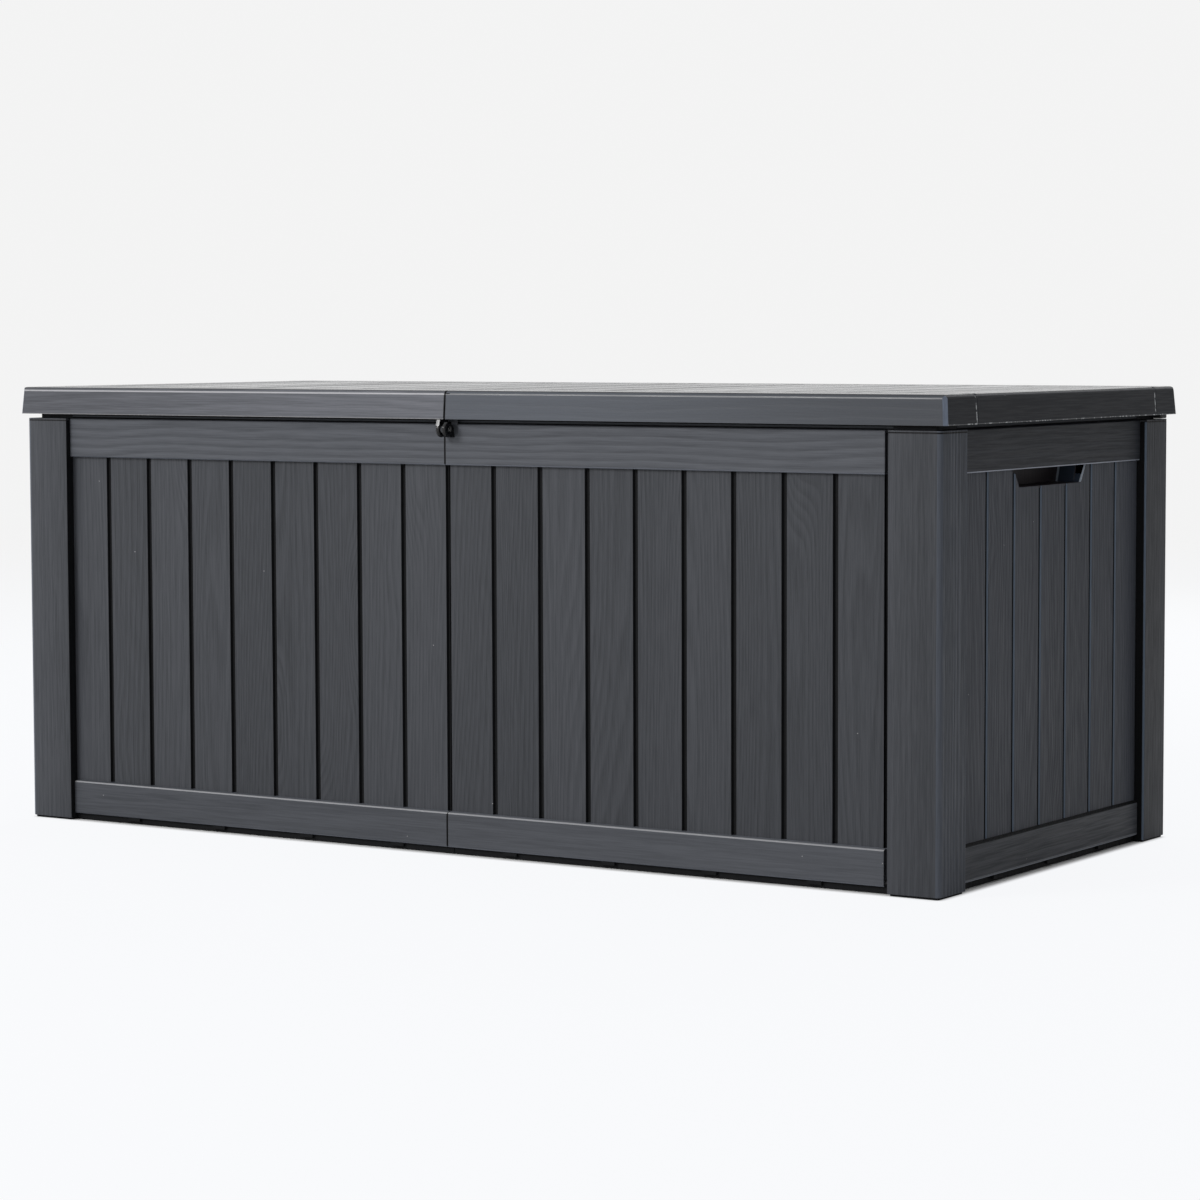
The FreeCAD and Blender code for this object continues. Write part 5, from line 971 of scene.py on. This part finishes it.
def bar(name, finish_name, body, width, spans):
    """A bar with rounded edges. spans gives its two ends along X, Y and Z."""
    made = bmesh.new()
    bmesh.ops.create_cube(made, size=1.0)
    for vert in made.verts:
        vert.co = Vector([high if at > 0 else low for at, (low, high) in zip(vert.co, spans)])
    bmesh.ops.bevel(made, geom=made.edges[:], offset=width, segments=BAR_SEGMENTS, profile=0.5,
                    affect="EDGES")
    for face in made.faces:
        face.smooth = True
    piece = as_object(name, made, [finish_name])
    flat = piece.modifiers.new("flat_faces", "WEIGHTED_NORMAL")
    flat.weight = FACE_WEIGHT
    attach(piece, body)
    return piece


PAD_LOW = CAP_TOP + 0.0005
PAD_DEPTH = (0.3330, 0.3525)
PAD_HEIGHT = (PAD_LOW, PAD_LOW + 0.013)
LID_HEIGHT = (0.6060, 0.6402)
TOP_HEIGHT = (0.6328, 0.6403)
RAIL_HEIGHT = (0.5412, 0.6110)
TRIM = [
    ("lid_pad_left", "black_resin", "lid", PAD_ROUND, ((-0.7600, -0.700), PAD_DEPTH, PAD_HEIGHT)),
    ("lid_pad_right", "black_resin", "lid", PAD_ROUND, ((0.700, 0.7600), PAD_DEPTH, PAD_HEIGHT)),
    # The lid's seam strips are painted shade, and close the seam to light.
    ("lid_seam_strip_front", "shaded", "lid", STRIP_ROUND,
     ((-0.0019, 0.0080), (-0.3482, -0.3420), LID_HEIGHT)),
    ("lid_seam_strip_rear", "shaded", "lid", STRIP_ROUND, ((-0.0080, 0.0080), (0.3340, 0.3522), LID_HEIGHT)),
    ("lid_seam_strip_top", "shaded", "lid", STRIP_ROUND, ((-0.0040, 0.0040), (-0.3290, 0.3400), TOP_HEIGHT)),
    ("rail_seam_strip_front", "black_resin", "box", STRIP_ROUND,
     ((-0.0180, 0.0015), (-0.3276, -0.3245), RAIL_HEIGHT)),
    ("rail_seam_strip_rear", "black_resin", "box", STRIP_ROUND,
     ((-0.0100, 0.0100), (0.3245, 0.3276), RAIL_HEIGHT)),
]
LOCK_PLATE = ((-0.0180, 0.0140), (-0.3387, -0.3378), (0.5840, 0.6035))
trim = [bar(name, finish_name, body, width, spans)
        for name, finish_name, body, width, spans in TRIM]
trim.append(bar("lock_plate", "plate", "box", PLATE_ROUND, LOCK_PLATE))
tell("pieces of trim", trim)
left_over = [name for name in nodes if not nodes[name].hide_render]
print("nodes that still show:", left_over)

# %% [markdown]
# The floor and the light belong to the studio, not to the box. The floor is a wide pale disc whose
# rim fades into the background, so no horizon shows. Under the box and close beside it the floor is
# matte, which keeps the dark line of the shadow. Further off the camera sees almost only a pale
# glow, while the box is still lit by the matte floor.

# %% Studio floor
FLOOR_RADIUS = 9.0
RIM_FADE = (2.0, 8.0)
FLOOR_PAINT = (0.86, 0.86, 0.86, 1.0)
FLOOR_GLOW = (0.962, 0.971, 0.990, 1.0)
UNDER_EDGE = 0.010
SHADOW_WIDE = 0.018
GLOW_SHARE = 0.94

made = bmesh.new()
bmesh.ops.create_circle(made, cap_ends=True, segments=96, radius=FLOOR_RADIUS)
floor = as_object("studio_floor", made)
floor_finish = bpy.data.materials.new("studio_floor")
floor_finish.use_nodes = True
tree = floor_finish.node_tree
tree.nodes.clear()
where = put(tree, "ShaderNodeTexCoord").outputs["Object"]
reach = put(tree, "ShaderNodeVectorMath", {"operation": "LENGTH"}, in0=where).outputs["Value"]
fade = span(tree, reach, *RIM_FADE)
parts = put(tree, "ShaderNodeSeparateXYZ", Vector=where).outputs


def beyond(tree, coordinate, half):
    """How far a point lies beyond half of the box's width or depth, or 0."""
    return calc(tree, "MAXIMUM", calc(tree, "SUBTRACT", calc(tree, "ABSOLUTE", coordinate), half), 0.0)


beside_x = beyond(tree, parts["X"], HALF_WIDE - UNDER_EDGE)
beside_y = beyond(tree, parts["Y"], HALF_DEEP - UNDER_EDGE)
beside = calc(tree, "SQRT", calc(tree, "ADD", calc(tree, "MULTIPLY", beside_x, beside_x),
                                 calc(tree, "MULTIPLY", beside_y, beside_y)))
lift = span(tree, beside, 0.0, SHADOW_WIDE, 0.0, GLOW_SHARE)
light_path = put(tree, "ShaderNodeLightPath").outputs
matte = put(tree, "ShaderNodeBsdfDiffuse", Color=FLOOR_PAINT).outputs[0]
glow = put(tree, "ShaderNodeEmission", Color=FLOOR_GLOW, Strength=1.0).outputs[0]
glowing = calc(tree, "MULTIPLY", light_path["Is Camera Ray"], lift)
near = put(tree, "ShaderNodeMixShader", Fac=glowing, in1=matte, in2=glow)
clear = put(tree, "ShaderNodeBsdfTransparent").outputs[0]
whole = put(tree, "ShaderNodeMixShader", Fac=fade, in1=near.outputs[0], in2=clear)
put(tree, "ShaderNodeOutputMaterial", Surface=whole.outputs[0])
floor.data.materials.append(floor_finish)
print("floor", 2 * FLOOR_RADIUS, "metres across")

# %% [markdown]
# The world lights the box softly from all round, but less from the right and the back, because the
# photographed box is darker on its end. The camera sees an even, pale background instead, and
# reflections see that background, darker from the same side.

# %% World
BACKGROUND = (0.90, 0.90, 0.90, 1.0)
DARK_WAY = (0.83, 0.55, 0.0)
DARK_ZONE = (0.3, 0.95)
DARK_SHARE = 0.28
WORLD_STRENGTH = 0.55

world = bpy.data.worlds.new("studio")
bpy.context.scene.world = world
world.use_nodes = True
tree = world.node_tree
tree.nodes.clear()
light_path = put(tree, "ShaderNodeLightPath").outputs
shown = calc(tree, "MAXIMUM", light_path["Is Camera Ray"], light_path["Is Glossy Ray"])
shown = calc(tree, "MAXIMUM", shown, light_path["Is Transmission Ray"])
way = put(tree, "ShaderNodeTexCoord").outputs["Generated"]
darker = put(tree, "ShaderNodeVectorMath", {"operation": "DOT_PRODUCT"}, in0=way,
             in1=DARK_WAY).outputs["Value"]
open_side = span(tree, darker, *DARK_ZONE, 1.0, DARK_SHARE)
ambient = put(tree, "ShaderNodeBackground", Color=(1.0, 1.0, 1.0, 1.0),
              Strength=calc(tree, "MULTIPLY", open_side, WORLD_STRENGTH)).outputs[0]
seen_straight = calc(tree, "MAXIMUM", open_side, light_path["Is Camera Ray"])
backdrop = put(tree, "ShaderNodeBackground", Color=BACKGROUND, Strength=seen_straight).outputs[0]
either = put(tree, "ShaderNodeMixShader", Fac=shown, in1=ambient, in2=backdrop)
put(tree, "ShaderNodeOutputWorld", Surface=either.outputs[0])
print("world with", len(tree.nodes), "nodes")

# %% [markdown]
# Two large lamps give the front a little more light than the end. The one in front is small enough
# for glossy parts to show it as a bright spot. The one behind stays out of reflections.

# %% Lamps
def lamp(name, place, aim, size, watts):
    """A square area lamp at a place, pointing at another."""
    light = bpy.data.lights.new(name, "AREA")
    light.size = size
    light.energy = watts
    made = bpy.data.objects.new(name, light)
    made.matrix_world = Matrix.Translation(place) @ (
        Vector(aim) - Vector(place)).to_track_quat("-Z", "Y").to_matrix().to_4x4()
    bpy.context.collection.objects.link(made)
    return made


lamp("key_lamp", place=(-2.4, -4.6, 3.0), aim=(0.0, 0.0, 0.3), size=1.7, watts=155.0)
back_lamp = lamp("back_lamp", place=(-0.8, 4.2, 2.6), aim=(0.0, 0.0, 0.6), size=3.2, watts=110.0)
back_lamp.visible_glossy = False
bpy.context.scene.view_settings.view_transform = "Standard"
print(len(bpy.data.lights), "lamps")
